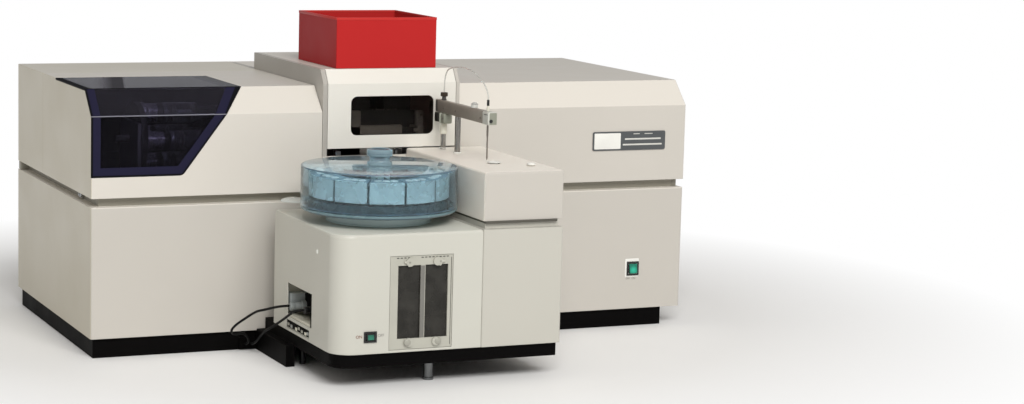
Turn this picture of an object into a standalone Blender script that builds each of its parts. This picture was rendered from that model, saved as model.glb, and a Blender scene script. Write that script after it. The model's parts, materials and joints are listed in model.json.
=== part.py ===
"""Atomic absorption spectrometer with a graphite furnace and an autosampler.

Metres, +Z up, +X to the right along the front and +Y towards the back. The origin lies on the
bench, under the middle of the cabinet's footprint. Run it in Blender to build the model.
"""
import math

import bmesh
import bpy
from mathutils import Vector

# Clearances and walls that the whole instrument shares
TOUCH = 0.0003
PANEL_GAP = 0.0006
RUNNING_GAP = 0.0005
SHEET = 0.002
OVERRUN = 0.004
MERGE = 0.00001

# Cabinet, from the bench upwards
CABINET_WIDTH = 1.100
CABINET_DEPTH = 0.518
PLINTH_HEIGHT = 0.0327
PLINTH_WALL = 0.003
PLINTH_INSET_LEFT = 0.005
PLINTH_INSET_RIGHT = 0.035
PLINTH_INSET_FRONT = 0.0065
PLINTH_INSET_BACK = 0.010
LOWER_HEIGHT = 0.219
DECK_THICKNESS = 0.0144
DECK_INSET = 0.016
UPPER_HEIGHT = 0.1774
FLANGE_LAP = 0.008
CASE_CORNER = 0.004
FRONT_CHAMFER = 0.042

# Widths along the front
LAMP_BOX_WIDTH = 0.400
CENTRE_WIDTH = 0.2515
LAMP_BOX_DEPTH = 0.330

# Raised centre with the furnace
CHEEK_LEFT = 0.0082
CHEEK_RIGHT = 0.0062
COVER_FACE_HEIGHT = 0.1105
SLOPE_RISE = 0.024
SLOPE_DEPTH = 0.016
RAISED_DEPTH = 0.368
STRIP_RISE = 0.060
STRIP_RECESS = 0.0004
SLOT_HEIGHT = 0.0125
COVER_SHEET = 0.0025
COVER_GAP = 0.0008
WINDOW_LEFT = 0.0510
WINDOW_WIDTH = 0.1525
WINDOW_HEIGHT = 0.067
WINDOW_CORNER = 0.011
WINDOW_LAP = 0.006
WINDOW_GLASS = 0.002
CHIMNEY_OFFSET = 0.0305
CHIMNEY_WIDTH = 0.184
CHIMNEY_DEPTH = 0.192
CHIMNEY_HEIGHT = 0.087
CHIMNEY_FRONT = 0.0215
CHIMNEY_WALL = 0.002
CHIMNEY_LEDGE = 0.006

# Optical axis, which runs along X through lamp, furnace and monochromator
AXIS_DEPTH = 0.110
AXIS_RISE = 0.1275
LIGHT_PATH_RADIUS = 0.012

# Graphite furnace
CRADLE_FOOT = 0.008
CRADLE_LENGTH = 0.165
CRADLE_DEPTH = 0.110
ELECTRODE_LENGTH = 0.050
ELECTRODE_DEPTH = 0.070
ELECTRODE_RISE = 0.034
SEAT_DEPTH = 0.003
TUBE_RADIUS = 0.004
TUBE_BORE = 0.003
TUBE_LENGTH = 0.032

# Smoked lid over the lamps
LID_SHEET = 0.003
LID_DEPTH = 0.240
LID_SILL = 0.035
LID_WIDTH_BOTTOM = 0.155
LID_WIDTH_FOLD = 0.2305
LID_WIDTH_TOP = 0.2685
LID_CORNER = 0.012
LID_GAP = 0.0006
HINGE_PIN_RADIUS = 0.0009

# Lamp turret
TURRET_RADIUS = 0.062
TURRET_THICKNESS = 0.010
TURRET_PLACE = 0.100
LAMP_CIRCLE = 0.042
LAMP_COUNT = 4
LAMP_BASE_RADIUS = 0.0165
LAMP_BASE_LENGTH = 0.040
LAMP_GLASS_RADIUS = 0.0180
LAMP_NECK_RADIUS = 0.0125
LAMP_LENGTH = 0.150
SHAFT_RADIUS = 0.006
SHAFT_LENGTH = 0.030
BRACKET_THICKNESS = 0.006
BRACKET_WIDTH = 0.110
BRACKET_FOOT = 0.045

# Monochromator under the right cover
MONO_CASE_LEFT = 0.035
MONO_CASE_RIGHT = 0.053
MONO_CASE_FRONT = 0.062
MONO_CASE_BACK = 0.076
MONO_CASE_HEIGHT = 0.150
MONO_CASE_WALL = 0.006
DETECTOR_RADIUS = 0.026
DETECTOR_LENGTH = 0.012

# Nameplate and main switch on the front
NAMEPLATE_RIGHT = 0.041
NAMEPLATE_WIDTH = 0.146
NAMEPLATE_RISE = 0.056
NAMEPLATE_HEIGHT = 0.034
NAMEPLATE_SHEET = 0.0015
NAMEPLATE_CORNER = 0.003
MAIN_SWITCH_RIGHT = 0.098
MAIN_SWITCH_RISE = 0.0735
MAIN_SWITCH_WIDTH = 0.024
MAIN_SWITCH_HEIGHT = 0.0255
BEZEL_PROUD = 0.0015
BEZEL_BODY = 0.008
BEZEL_RIM = 0.0028
BEZEL_STEP = 0.0014
ROCKER_GAP = 0.0008
ROCKER_DEPTH = 0.008
ROCKER_TILT = 8.0

# Back of the cabinet and its power supply
REAR_SHEET = 0.0015
LOUVRE_COUNT = 8
LOUVRE_WIDTH = 0.090
LOUVRE_SLOT = 0.003
LOUVRE_PITCH = 0.012
LOUVRE_X = 0.300
LOUVRE_RISE = 0.067
INLET_RIGHT = 0.180
INLET_RISE = 0.077
INLET_WIDTH = 0.030
INLET_HEIGHT = 0.024
INLET_DEPTH = 0.022
INLET_FLANGE = 0.008
INLET_FLANGE_SHEET = 0.0015
INLET_WALL = 0.003
SUPPLY_RIGHT = 0.380
SUPPLY_WIDTH = 0.240
SUPPLY_BACK = 0.108
SUPPLY_DEPTH = 0.200
SUPPLY_HEIGHT = 0.140

# Autosampler housings
SAMPLER_OFFSET = 0.2985
SAMPLER_BOTTOM = 0.056
SAMPLER_HEIGHT = 0.191
SAMPLER_REACH = 0.347
SAMPLER_SHEET = 0.0025
PLATFORM_WIDTH = 0.2505
PLATFORM_BACK = 0.055
PLATFORM_CORNER = 0.036
PLATFORM_EDGE = 0.005
TOWER_WIDTH = 0.141
TOWER_BACK = 0.0007
BAND_HEIGHT = 0.0117
BAND_INSET = 0.0075
BAND_SINK = 0.001
HEAD_SHIFT = 0.005
HEAD_WIDTH = 0.140
HEAD_HEIGHT = 0.079
HEAD_SETBACK = 0.010
HEAD_EDGE = 0.003
BASE_THICKNESS = 0.0217
BASE_INSET = 0.005
BASE_CORNER = 0.030
RAIL_WIDTH = 0.0155
RAIL_OUT = 0.0115
RAIL_REACH = 0.152
RAIL_TOP = 0.036
RAIL_TONGUE = 0.032
SHORT_RAIL_REACH = 0.075
FRONT_LEG_ACROSS = 0.1775
FRONT_LEG_SETBACK = 0.0424
FRONT_LEG_RADIUS = 0.009
LEFT_LEG_ACROSS = 0.0235
LEFT_LEG_Y = 0.1335
LEFT_LEG_RADIUS = 0.0045
LEG_EDGE = 0.001

# Side opening with the cable sockets
SIDE_OPENING_SETBACK = 0.108
SIDE_OPENING_LENGTH = 0.117
SIDE_OPENING_RISE = 0.024
SIDE_OPENING_HEIGHT = 0.0557
SOCKET_STRIP_SETBACK = 0.119
SOCKET_STRIP_LENGTH = 0.110
SOCKET_STRIP_RISE = 0.0045
SOCKET_STRIP_HEIGHT = 0.0140
SOCKET_PLATE = 0.003
SOCKET_PLATE_MARGIN = 0.0005
GLAND_1_ALONG = 0.108
GLAND_1_RISE = 0.018
GLAND_2_ALONG = 0.039
GLAND_2_RISE = 0.0231
GLAND_RADIUS = 0.0065
GLAND_SET_BACK = 0.0005

# Syringe bay in the platform's front
BAY_ACROSS = 0.092
BAY_WIDTH = 0.1070
BAY_RISE = 0.0045
BAY_HEIGHT = 0.1495
BAY_GAP = 0.0005
BAY_RECESS = 0.001
BAY_FRAME = 0.003
PANE_LEFT = 0.0135
PANE_WIDTH = 0.0390
PANE_BAR = 0.0075
PANE_BOTTOM = 0.0170
PANE_HEIGHT = 0.1175
BAY_WINDOW = 0.002
BAY_WINDOW_LAP = 0.0045
BAY_KNOB_RADIUS = 0.0070
BAY_KNOB_LENGTH = 0.004
BAY_KNOB_LOW = 0.0110
BAY_KNOB_HIGH = 0.1400
SYRINGE_BLOCK_HEIGHT = 0.022
SYRINGE_BLOCK_DEPTH = 0.022
SYRINGE_BLOCK_DROP = 0.006
SYRINGE_RADIUS = 0.0070
SYRINGE_BORE = 0.0050
SYRINGE_LENGTH = 0.060
SYRINGE_STROKE = 0.038
PLUNGER_GAP = 0.0003
PLUNGER_FOOT_RADIUS = 0.0085
PLUNGER_FOOT_HEIGHT = 0.005
PLUNGER_SEAT = 0.006

# Sampler switch
SAMPLER_SWITCH_ACROSS = 0.0595
SAMPLER_SWITCH_RISE = 0.0278
SAMPLER_SWITCH_WIDTH = 0.0216
SAMPLER_SWITCH_HEIGHT = 0.0176

# Sample carousel
CAROUSEL_SETBACK = 0.1404
CAROUSEL_RADIUS = 0.1278
CAROUSEL_FOOT_RADIUS = 0.086
CAROUSEL_FOOT_HEIGHT = 0.0185
DISH_THICKNESS = 0.0035
DISH_RIM_HEIGHT = 0.0022
DISH_RIM = 0.005
TAB_REACH = 0.040
TAB_WIDTH = 0.038
TAB_THICKNESS = 0.003
TAB_DIRECTION = 137.0
SPINDLE_RADIUS = 0.008
SPINDLE_HEIGHT = 0.030
TRAY_RADIUS = 0.1155
TRAY_THICKNESS = 0.0150
TRAY_HUB_RADIUS = 0.022
TRAY_HUB_HEIGHT = 0.0540
TRAY_FLOOR_GAP = 0.0007
RIB_COUNT = 12
RIB_THICKNESS = 0.0016
RIB_HEIGHT = 0.0470
CUP_RADIUS = 0.0055
CUP_HEIGHT = 0.0415
CUP_CIRCLE = 0.098
CUPS_PER_SECTOR = 3
COVER_WALL = 0.0025
COVER_HEIGHT = 0.0655
COVER_EDGE = 0.003
KNOB_RADIUS = 0.0215
KNOB_NECK_RADIUS = 0.0180
KNOB_FOOT_RADIUS = 0.0205
KNOB_FOOT_HEIGHT = 0.006
KNOB_NECK_HEIGHT = 0.009
KNOB_HEAD_HEIGHT = 0.0125

# Lift column, park post and arm
COLUMN_ACROSS = 0.0609
COLUMN_Y = 0.030
COLUMN_RADIUS = 0.0045
COLUMN_LENGTH = 0.141
COLUMN_GAP = 0.0003
COLLAR_RADIUS = 0.0062
COLLAR_RISE = 0.0265
COLLAR_HEIGHT = 0.0189
POST_Y = 0.092
POST_RADIUS = 0.005
POST_FLANGE_RADIUS = 0.0075
POST_FLANGE = 0.0015
ARM_RISE = 0.063
ARM_HEIGHT = 0.0215
ARM_WIDTH = 0.009
ARM_BACK = 0.004
ARM_LENGTH = 0.208
ARM_EDGE = 0.0015
CLAMP_FRONT = 0.063
CLAMP_BACK = 0.0155
CLAMP_HEIGHT = 0.0170
CLAMP_WIDTH = 0.016
CLAMP_EDGE = 0.0025
CLAMP_TAIL = 0.0045
CLAMP_TAIL_WIDTH = 0.0102
CLAMP_TAIL_HEIGHT = 0.0150
CLIP_WIDTH = 0.016
CLIP_DEPTH = 0.0227
CLIP_HEIGHT = 0.0215
CLIP_EDGE = 0.002
NEEDLE_SETBACK = 0.0032
NEEDLE_RADIUS = 0.0009
NEEDLE_TIP_RADIUS = 0.0004
NEEDLE_TIP_LENGTH = 0.003
NEEDLE_RISE = 0.004
NEEDLE_HOLE = 0.0013
FERRULE_RADIUS = 0.0022
FERRULE_HEIGHT = 0.019
THUMB_NUT_RADIUS = 0.0062
THUMB_NUT_HEIGHT = 0.0100
THUMB_NECK_RADIUS = 0.0042
THUMB_NECK_HEIGHT = 0.0033
CLEAR_NUT_Y = 0.160
CLEAR_NUT_RADIUS = 0.0060
CLEAR_NUT_HEIGHT = 0.0092
CAPILLARY_RADIUS = 0.0011

# Wash cup in the tower's top, and a raised port beside it
WASH_ACROSS = 0.0674
WASH_SETBACK = 0.117
WASH_RADIUS = 0.0100
WASH_FLANGE_RADIUS = 0.0118
WASH_FLANGE = 0.0015
WASH_DEPTH = 0.030
WASH_WALL = 0.0015
PORT_ACROSS = 0.1164
PORT_SETBACK = 0.077
PORT_RADIUS = 0.0075
PORT_HEIGHT = 0.0015
PORT_SINK = 0.001

# Signal cables between the sampler and the cabinet
CABLE_RADIUS = 0.0021
CABLE_POINT_SPACING = 0.010
CAPILLARY_POINT_SPACING = 0.006
CABLE_LEAD = 0.009
CAPILLARY_LEAD = 0.005
CABLE_PORT_X = 0.272
CABLE_PORT_Z = 0.0115
CABLE_PORT_WIDTH = 0.029
CABLE_PORT_HEIGHT = 0.020
CABLE_PORT_PROUD = 0.006
CABLE_PORT_SPREAD = 0.005

# Lines that the sizes above give
LEFT = -CABINET_WIDTH / 2
RIGHT = CABINET_WIDTH / 2
FRONT = -CABINET_DEPTH / 2
BACK = CABINET_DEPTH / 2
LOWER_BOTTOM = PLINTH_HEIGHT + TOUCH
LOWER_TOP = LOWER_BOTTOM + LOWER_HEIGHT
DECK_BOTTOM = LOWER_TOP + TOUCH
DECK_TOP = DECK_BOTTOM + DECK_THICKNESS
UPPER_BOTTOM = DECK_TOP + TOUCH
UPPER_TOP = UPPER_BOTTOM + UPPER_HEIGHT
STRIP_TOP = UPPER_BOTTOM + STRIP_RISE
COVER_BOTTOM = STRIP_TOP + SLOT_HEIGHT
KNEE_HEIGHT = COVER_BOTTOM + COVER_FACE_HEIGHT
RAISED_TOP = KNEE_HEIGHT + SLOPE_RISE
WINDOW_BOTTOM = COVER_BOTTOM + (COVER_FACE_HEIGHT - WINDOW_HEIGHT) / 2
AXIS_HEIGHT = UPPER_BOTTOM + AXIS_RISE
LID_BOTTOM = UPPER_BOTTOM + LID_SILL
NAMEPLATE_LEFT = CABINET_WIDTH - NAMEPLATE_RIGHT - NAMEPLATE_WIDTH
NAMEPLATE_BOTTOM = UPPER_BOTTOM + NAMEPLATE_RISE
MAIN_SWITCH_X = CABINET_WIDTH - MAIN_SWITCH_RIGHT
MAIN_SWITCH_Z = LOWER_BOTTOM + MAIN_SWITCH_RISE
LOUVRE_Z = LOWER_BOTTOM + LOUVRE_RISE
INLET_X = CABINET_WIDTH - INLET_RIGHT
INLET_Z = LOWER_BOTTOM + INLET_RISE
SUPPLY_X = CABINET_WIDTH - SUPPLY_RIGHT
SUPPLY_Y = CABINET_DEPTH - SUPPLY_BACK - SUPPLY_DEPTH
DECK_FLANGE = DECK_INSET + FLANGE_LAP
CENTRE_LEFT = LEFT + LAMP_BOX_WIDTH + PANEL_GAP
CENTRE_RIGHT = CENTRE_LEFT + CENTRE_WIDTH
COVER_LEFT = CENTRE_LEFT + CHEEK_LEFT
COVER_RIGHT = CENTRE_RIGHT - CHEEK_RIGHT
MONO_LEFT = CENTRE_RIGHT + PANEL_GAP
MONO_CASE_WIDTH = RIGHT - MONO_CASE_RIGHT - MONO_LEFT - MONO_CASE_LEFT
MONO_CASE_DEPTH = CABINET_DEPTH - MONO_CASE_BACK - MONO_CASE_FRONT
AXIS_Y = FRONT + AXIS_DEPTH
SAMPLER_LEFT = LEFT + SAMPLER_OFFSET
SAMPLER_FRONT = FRONT - SAMPLER_REACH
SAMPLER_TOP = SAMPLER_BOTTOM + SAMPLER_HEIGHT
PLATFORM_RIGHT = SAMPLER_LEFT + PLATFORM_WIDTH
TOWER_LEFT = PLATFORM_RIGHT + PANEL_GAP
TOWER_RIGHT = TOWER_LEFT + TOWER_WIDTH
HEAD_LEFT = TOWER_LEFT + HEAD_SHIFT
HEAD_RIGHT = HEAD_LEFT + HEAD_WIDTH
HEAD_FRONT = SAMPLER_FRONT + HEAD_SETBACK
BAND_TOP = SAMPLER_TOP + BAND_HEIGHT
HEAD_BOTTOM = BAND_TOP + TOUCH
HEAD_TOP = HEAD_BOTTOM + HEAD_HEIGHT
FRONT_LEG_X = SAMPLER_OFFSET + FRONT_LEG_ACROSS
FRONT_LEG_Y = SAMPLER_REACH - FRONT_LEG_SETBACK
LEFT_LEG_X = SAMPLER_OFFSET + LEFT_LEG_ACROSS
SIDE_OPENING_FRONT = SAMPLER_REACH - SIDE_OPENING_SETBACK
SIDE_OPENING_BOTTOM = SAMPLER_BOTTOM + SIDE_OPENING_RISE
CABLE_GLANDS = (
    (SIDE_OPENING_FRONT - GLAND_1_ALONG, SIDE_OPENING_BOTTOM + GLAND_1_RISE),
    (SIDE_OPENING_FRONT - GLAND_2_ALONG, SIDE_OPENING_BOTTOM + GLAND_2_RISE),
)
SOCKET_STRIP_FRONT = SAMPLER_REACH - SOCKET_STRIP_SETBACK
SOCKET_STRIP_BOTTOM = SAMPLER_BOTTOM + SOCKET_STRIP_RISE
BAY_LEFT = SAMPLER_OFFSET + BAY_ACROSS
BAY_BOTTOM = SAMPLER_BOTTOM + BAY_RISE
SAMPLER_SWITCH_X = SAMPLER_OFFSET + SAMPLER_SWITCH_ACROSS
SAMPLER_SWITCH_Z = SAMPLER_BOTTOM + SAMPLER_SWITCH_RISE
CAROUSEL_X = SAMPLER_OFFSET + PLATFORM_WIDTH / 2
CAROUSEL_Y = SAMPLER_REACH - CAROUSEL_SETBACK
TOWER_ACROSS = SAMPLER_OFFSET + PLATFORM_WIDTH + PANEL_GAP
COLUMN_X = TOWER_ACROSS + COLUMN_ACROSS
COLLAR_BOTTOM = HEAD_TOP + COLLAR_RISE
ARM_BOTTOM = HEAD_TOP + ARM_RISE
NEEDLE_BOTTOM = HEAD_TOP + NEEDLE_RISE
WASH_X = TOWER_ACROSS + WASH_ACROSS
WASH_Y = SAMPLER_REACH - WASH_SETBACK
PORT_X = TOWER_ACROSS + PORT_ACROSS
PORT_Y = SAMPLER_REACH - PORT_SETBACK
BASE_TOP = SAMPLER_BOTTOM - TOUCH
BASE_BOTTOM = BASE_TOP - BASE_THICKNESS
TURRET_Z = AXIS_HEIGHT - LAMP_CIRCLE
CAROUSEL_FOOT_BOTTOM = SAMPLER_TOP + TOUCH
DISH_BOTTOM = CAROUSEL_FOOT_BOTTOM + CAROUSEL_FOOT_HEIGHT
DISH_TOP = DISH_BOTTOM + DISH_THICKNESS
DISH_RIM_TOP = DISH_TOP + DISH_RIM_HEIGHT
TRAY_BOTTOM = DISH_TOP + TRAY_FLOOR_GAP
TRAY_TOP = TRAY_BOTTOM + TRAY_THICKNESS
DRUM_BOTTOM = DISH_RIM_TOP + TOUCH
DRUM_TOP = DRUM_BOTTOM + COVER_HEIGHT
ARM_TOP = ARM_BOTTOM + ARM_HEIGHT
ARM_FRONT = FRONT - ARM_BACK - ARM_LENGTH
NEEDLE_Y = ARM_FRONT - TOUCH - NEEDLE_SETBACK
CLIP_BOTTOM = ARM_BOTTOM + TOUCH
CLIP_TOP = CLIP_BOTTOM + CLIP_HEIGHT
THUMB_NUT_TOP = ARM_TOP + TOUCH + THUMB_NECK_HEIGHT + THUMB_NUT_HEIGHT
NEEDLE_TOP = CLIP_TOP + FERRULE_HEIGHT

# Planes for flat outlines: seen from the front, and seen from the right-hand side
FRONT_PLANE = (math.pi / 2, 0, 0)
SIDE_PLANE = (math.pi / 2, 0, math.pi / 2)
FLAT = (0, 0, 0)
ALONG_X = (0, math.pi / 2, 0)
ALONG_Y = (-math.pi / 2, 0, 0)

# Finishes: base colour, roughness, metallic
FINISHES = {
    "cream_paint": ((0.66, 0.64, 0.58), 0.42, 0.0),
    "warm_white_paint": ((0.78, 0.76, 0.70), 0.38, 0.0),
    "black_paint": ((0.02, 0.02, 0.02), 0.55, 0.0),
    "dark_casting": ((0.10, 0.10, 0.10), 0.60, 0.2),
    "red_enamel": ((0.55, 0.03, 0.03), 0.35, 0.0),
    "smoked_acrylic": ((0.02, 0.02, 0.05), 0.08, 0.0),
    "dark_window": ((0.03, 0.03, 0.03), 0.10, 0.0),
    "blue_clear": ((0.30, 0.45, 0.52), 0.10, 0.0),
    "white_plastic": ((0.75, 0.76, 0.74), 0.35, 0.0),
    "cream_plastic": ((0.76, 0.74, 0.62), 0.40, 0.0),
    "black_plastic": ((0.03, 0.03, 0.03), 0.40, 0.0),
    "green_plastic": ((0.02, 0.35, 0.24), 0.25, 0.0),
    "arm_grey": ((0.18, 0.17, 0.15), 0.40, 0.4),
    "polished_steel": ((0.62, 0.61, 0.58), 0.20, 1.0),
    "zinc_steel": ((0.45, 0.47, 0.48), 0.35, 1.0),
    "graphite": ((0.05, 0.05, 0.05), 0.70, 0.1),
    "lamp_glass": ((0.60, 0.65, 0.65), 0.05, 0.0),
    "clear_tube": ((0.80, 0.80, 0.76), 0.15, 0.0),
    "cable_rubber": ((0.02, 0.02, 0.02), 0.50, 0.0),
}


def clear_scene():
    for item in list(bpy.data.objects):
        bpy.data.objects.remove(item, do_unlink=True)


def collection(name):
    group = bpy.data.collections.new(name)
    bpy.context.scene.collection.children.link(group)
    return group


def material(name):
    found = bpy.data.materials.get(name)
    if found:
        return found
    colour, roughness, metallic = FINISHES[name]
    made = bpy.data.materials.new(name)
    made.use_nodes = True
    shader = made.node_tree.nodes["Principled BSDF"]
    shader.inputs["Base Color"].default_value = (*colour, 1.0)
    shader.inputs["Roughness"].default_value = roughness
    shader.inputs["Metallic"].default_value = metallic
    made.diffuse_color = (*colour, 1.0)
    return made


clear_scene()
PARTS = collection("atomic_absorption_spectrometer")
CUTTERS = collection("cutters")


def add(name, data, finish, place=FLAT, turn=FLAT):
    """Adds a finished sub-part, or a cutter when it has no finish."""
    item = bpy.data.objects.new(name, data)
    item.location = place
    item.rotation_euler = turn
    if finish:
        data.materials.append(material(finish))
        PARTS.objects.link(item)
    else:
        item.hide_render = True
        item.display_type = "WIRE"
        CUTTERS.objects.link(item)
    return item


def mesh_from(bm, name):
    mesh = bpy.data.meshes.new(name)
    bm.normal_update()
    bm.to_mesh(mesh)
    bm.free()
    return mesh


def smooth(item, angle=35.0):
    item.data.shade_smooth()
    item.data.set_sharp_from_angle(angle=math.radians(angle))
    return item


def centre_and_size(low, high):
    low = Vector(low)
    high = Vector(high)
    return (low + high) / 2, high - low


def block(name, low, high, finish, edge=0.0, segments=2):
    """A box between two corners, with all its edges rounded when edge is set."""
    centre, size = centre_and_size(low, high)
    bm = bmesh.new()
    bmesh.ops.create_cube(bm, size=1.0)
    bmesh.ops.scale(bm, vec=size, verts=bm.verts)
    if edge:
        bmesh.ops.bevel(bm, geom=bm.edges[:], offset=edge, segments=segments, profile=0.5,
                        affect="EDGES")
    return add(name, mesh_from(bm, name), finish, centre)


def side_face(bm, axis, sign):
    """The face of a box that looks along one axis."""
    return max(bm.faces, key=lambda face: face.normal[axis] * sign)


def shell(name, low, high, wall, finish, open_sides=(), ring_sides=(), corners=None,
          corner_radius=0.0, corner_segments=3, edges=None, edge_radius=0.0, chamfer=0.0):
    """A sheet-metal cover: a box without its open sides, and with a flange round its ring sides.

    open_sides holds (axis, sign) pairs, ring_sides (axis, sign, width), and corners and edges are
    tests that pick the edges to round.
    """
    centre, size = centre_and_size(low, high)
    bm = bmesh.new()
    bmesh.ops.create_cube(bm, size=1.0)
    bmesh.ops.scale(bm, vec=size, verts=bm.verts)
    half = size / 2
    if chamfer:
        picked = [edge for edge in bm.edges if front_top_edge(edge, half)]
        bmesh.ops.bevel(bm, geom=picked, offset=chamfer, segments=1, profile=0.5, affect="EDGES")
    if corners:
        picked = [edge for edge in bm.edges if corners(edge, half)]
        bmesh.ops.bevel(bm, geom=picked, offset=corner_radius, segments=corner_segments,
                        profile=0.5, affect="EDGES")
    if edges:
        picked = [edge for edge in bm.edges if edges(edge, half)]
        bmesh.ops.bevel(bm, geom=picked, offset=edge_radius, segments=2, profile=0.5,
                        affect="EDGES")
    bm.normal_update()
    for axis, sign in open_sides:
        bmesh.ops.delete(bm, geom=[side_face(bm, axis, sign)], context="FACES")
    item = add(name, mesh_from(bm, name), finish, centre)
    solid = item.modifiers.new("wall", "SOLIDIFY")
    solid.thickness = wall
    solid.offset = -1
    solid.use_even_offset = True
    solid.use_quality_normals = True
    for axis, sign, width in ring_sides:
        cut(item, ring_cutter(name, low, high, axis, sign, width, wall))
    return item


def ring_cutter(name, low, high, axis, sign, width, wall):
    """The opening inside the flange on one side of a shell."""
    low = Vector(low)
    high = Vector(high)
    for across in range(3):
        if across != axis:
            low[across] += width
            high[across] -= width
    if sign > 0:
        low[axis] = high[axis] - wall - OVERRUN
        high[axis] += OVERRUN
    else:
        high[axis] = low[axis] + wall + OVERRUN
        low[axis] -= OVERRUN
    return block("%s_opening_%d" % (name, axis), low, high, None)


def edge_middle(edge):
    return (edge.verts[0].co + edge.verts[1].co) / 2


def upright(edge):
    span = edge.verts[0].co - edge.verts[1].co
    return abs(span.z) > abs(span.x) + abs(span.y)


def front_top_edge(edge, half):
    middle = edge_middle(edge)
    return abs(middle.y + half.y) < MERGE and abs(middle.z - half.z) < MERGE


def front_corners(edge, half):
    middle = edge_middle(edge)
    return upright(edge) and middle.y < -half.y + MERGE


def front_left_corner(edge, half):
    middle = edge_middle(edge)
    return upright(edge) and middle.y < 0 and middle.x < 0


def platform_top_edges(edge, half):
    on_top = all(abs(vert.co.z - half.z) < MERGE for vert in edge.verts)
    middle = edge_middle(edge)
    return on_top and middle.x < half.x - MERGE and middle.y < half.y - MERGE


def top_edges(edge, half):
    on_top = all(abs(vert.co.z - half.z) < MERGE for vert in edge.verts)
    return on_top or (upright(edge) and edge_middle(edge).y < 0)


def cylinder(name, radius, start, length, finish, turn=FLAT, segments=32):
    """A rod that runs from start along its turned Z axis."""
    bm = bmesh.new()
    bmesh.ops.create_cone(bm, cap_ends=True, segments=segments, radius1=radius, radius2=radius,
                          depth=length)
    bmesh.ops.translate(bm, vec=(0, 0, length / 2), verts=bm.verts)
    return add(name, mesh_from(bm, name), finish, start, turn)


def turned(name, profile, finish, place, turn=FLAT, steps=32, ring=False):
    """A turned piece from (radius, height) points that run down its outer side."""
    mesh = bpy.data.meshes.new(name)
    points = [(radius, 0, height) for radius, height in profile]
    edges = [(index, index + 1) for index in range(len(points) - 1)]
    if ring:
        edges.append((len(points) - 1, 0))
    mesh.from_pydata(points, edges, [])
    item = add(name, mesh, finish, place, turn)
    screw = item.modifiers.new("turn", "SCREW")
    screw.axis = "Z"
    screw.angle = 2 * math.pi
    screw.steps = steps
    screw.render_steps = steps
    screw.use_merge_vertices = True
    screw.merge_threshold = MERGE
    screw.use_smooth_shade = True
    return item


def outline(name, points, thickness, finish, place, turn):
    """A flat piece with the given outline, centred on its plane."""
    curve = bpy.data.curves.new(name, "CURVE")
    curve.dimensions = "2D"
    curve.fill_mode = "BOTH"
    curve.extrude = thickness / 2
    spline = curve.splines.new("POLY")
    spline.points.add(len(points) - 1)
    for point, (across, up) in zip(spline.points, points):
        point.co = (across, up, 0, 1)
    spline.use_cyclic_u = True
    holder = bpy.data.objects.new(name + "_outline", curve)
    CUTTERS.objects.link(holder)
    bpy.context.view_layer.update()
    graph = bpy.context.evaluated_depsgraph_get()
    mesh = bpy.data.meshes.new_from_object(holder.evaluated_get(graph))
    bpy.data.objects.remove(holder, do_unlink=True)
    bm = bmesh.new()
    bm.from_mesh(mesh)
    bmesh.ops.remove_doubles(bm, verts=bm.verts, dist=MERGE)
    bmesh.ops.recalc_face_normals(bm, faces=bm.faces)
    bm.to_mesh(mesh)
    bm.free()
    mesh.name = name
    mesh.materials.clear()
    return add(name, mesh, finish, place, turn)


def rounded_rectangle(left, right, bottom, top, radius, segments=5):
    corners = (
        (right - radius, top - radius, 0),
        (left + radius, top - radius, 1),
        (left + radius, bottom + radius, 2),
        (right - radius, bottom + radius, 3),
    )
    points = []
    for across, up, quarter in corners:
        for step in range(segments + 1):
            angle = math.pi / 2 * (quarter + step / segments)
            points.append((across + radius * math.cos(angle), up + radius * math.sin(angle)))
    return points


def offset_path(path, distance):
    """The path moved to its right-hand side by distance, with mitred corners."""
    moved = []
    for index, (across, up) in enumerate(path):
        normals = []
        for first, second in ((index - 1, index), (index, index + 1)):
            if first < 0 or second >= len(path):
                continue
            run = Vector(path[second]) - Vector(path[first])
            run.normalize()
            normals.append(Vector((run.y, -run.x)))
        mean = sum(normals, Vector((0, 0)))
        mean.normalize()
        reach = distance / mean.dot(normals[0])
        moved.append((across + mean.x * reach, up + mean.y * reach))
    return moved


def bent_sheet(name, path, thickness, left, right, finish, proud=0.0):
    """A sheet bent along a path in the Y-Z plane, its thickness to the path's right."""
    outer = offset_path(path, -proud) if proud else path
    points = list(outer) + list(reversed(offset_path(path, thickness)))
    place = ((left + right) / 2, 0, 0)
    return outline(name, points, right - left, finish, place, SIDE_PLANE)


def combine(item, other, operation):
    step = item.modifiers.new(other.name, "BOOLEAN")
    step.operation = operation
    step.solver = "EXACT"
    step.object = other
    return item


def cut(item, cutter):
    return combine(item, cutter, "DIFFERENCE")


def join(item, other):
    return combine(item, other, "UNION")


def pivot(name, place):
    """An empty on a joint's axis, which carries the pieces of one moving body."""
    empty = bpy.data.objects.new(name, None)
    empty.empty_display_size = OVERRUN
    empty.location = place
    PARTS.objects.link(empty)
    return empty


def carry(empty, *items):
    for item in items:
        item.location = item.location - empty.location
        item.parent = empty


def spline_point(points, index, share):
    """A point on the smooth curve through points, between index and the next one."""
    last = len(points) - 1
    before = Vector(points[max(index - 1, 0)])
    start = Vector(points[index])
    end = Vector(points[min(index + 1, last)])
    after = Vector(points[min(index + 2, last)])
    leave = (end - before) / 2
    arrive = (after - start) / 2
    square = share * share
    cube = square * share
    return (start * (2 * cube - 3 * square + 1) + leave * (cube - 2 * square + share)
            + end * (3 * square - 2 * cube) + arrive * (cube - square))


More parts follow.
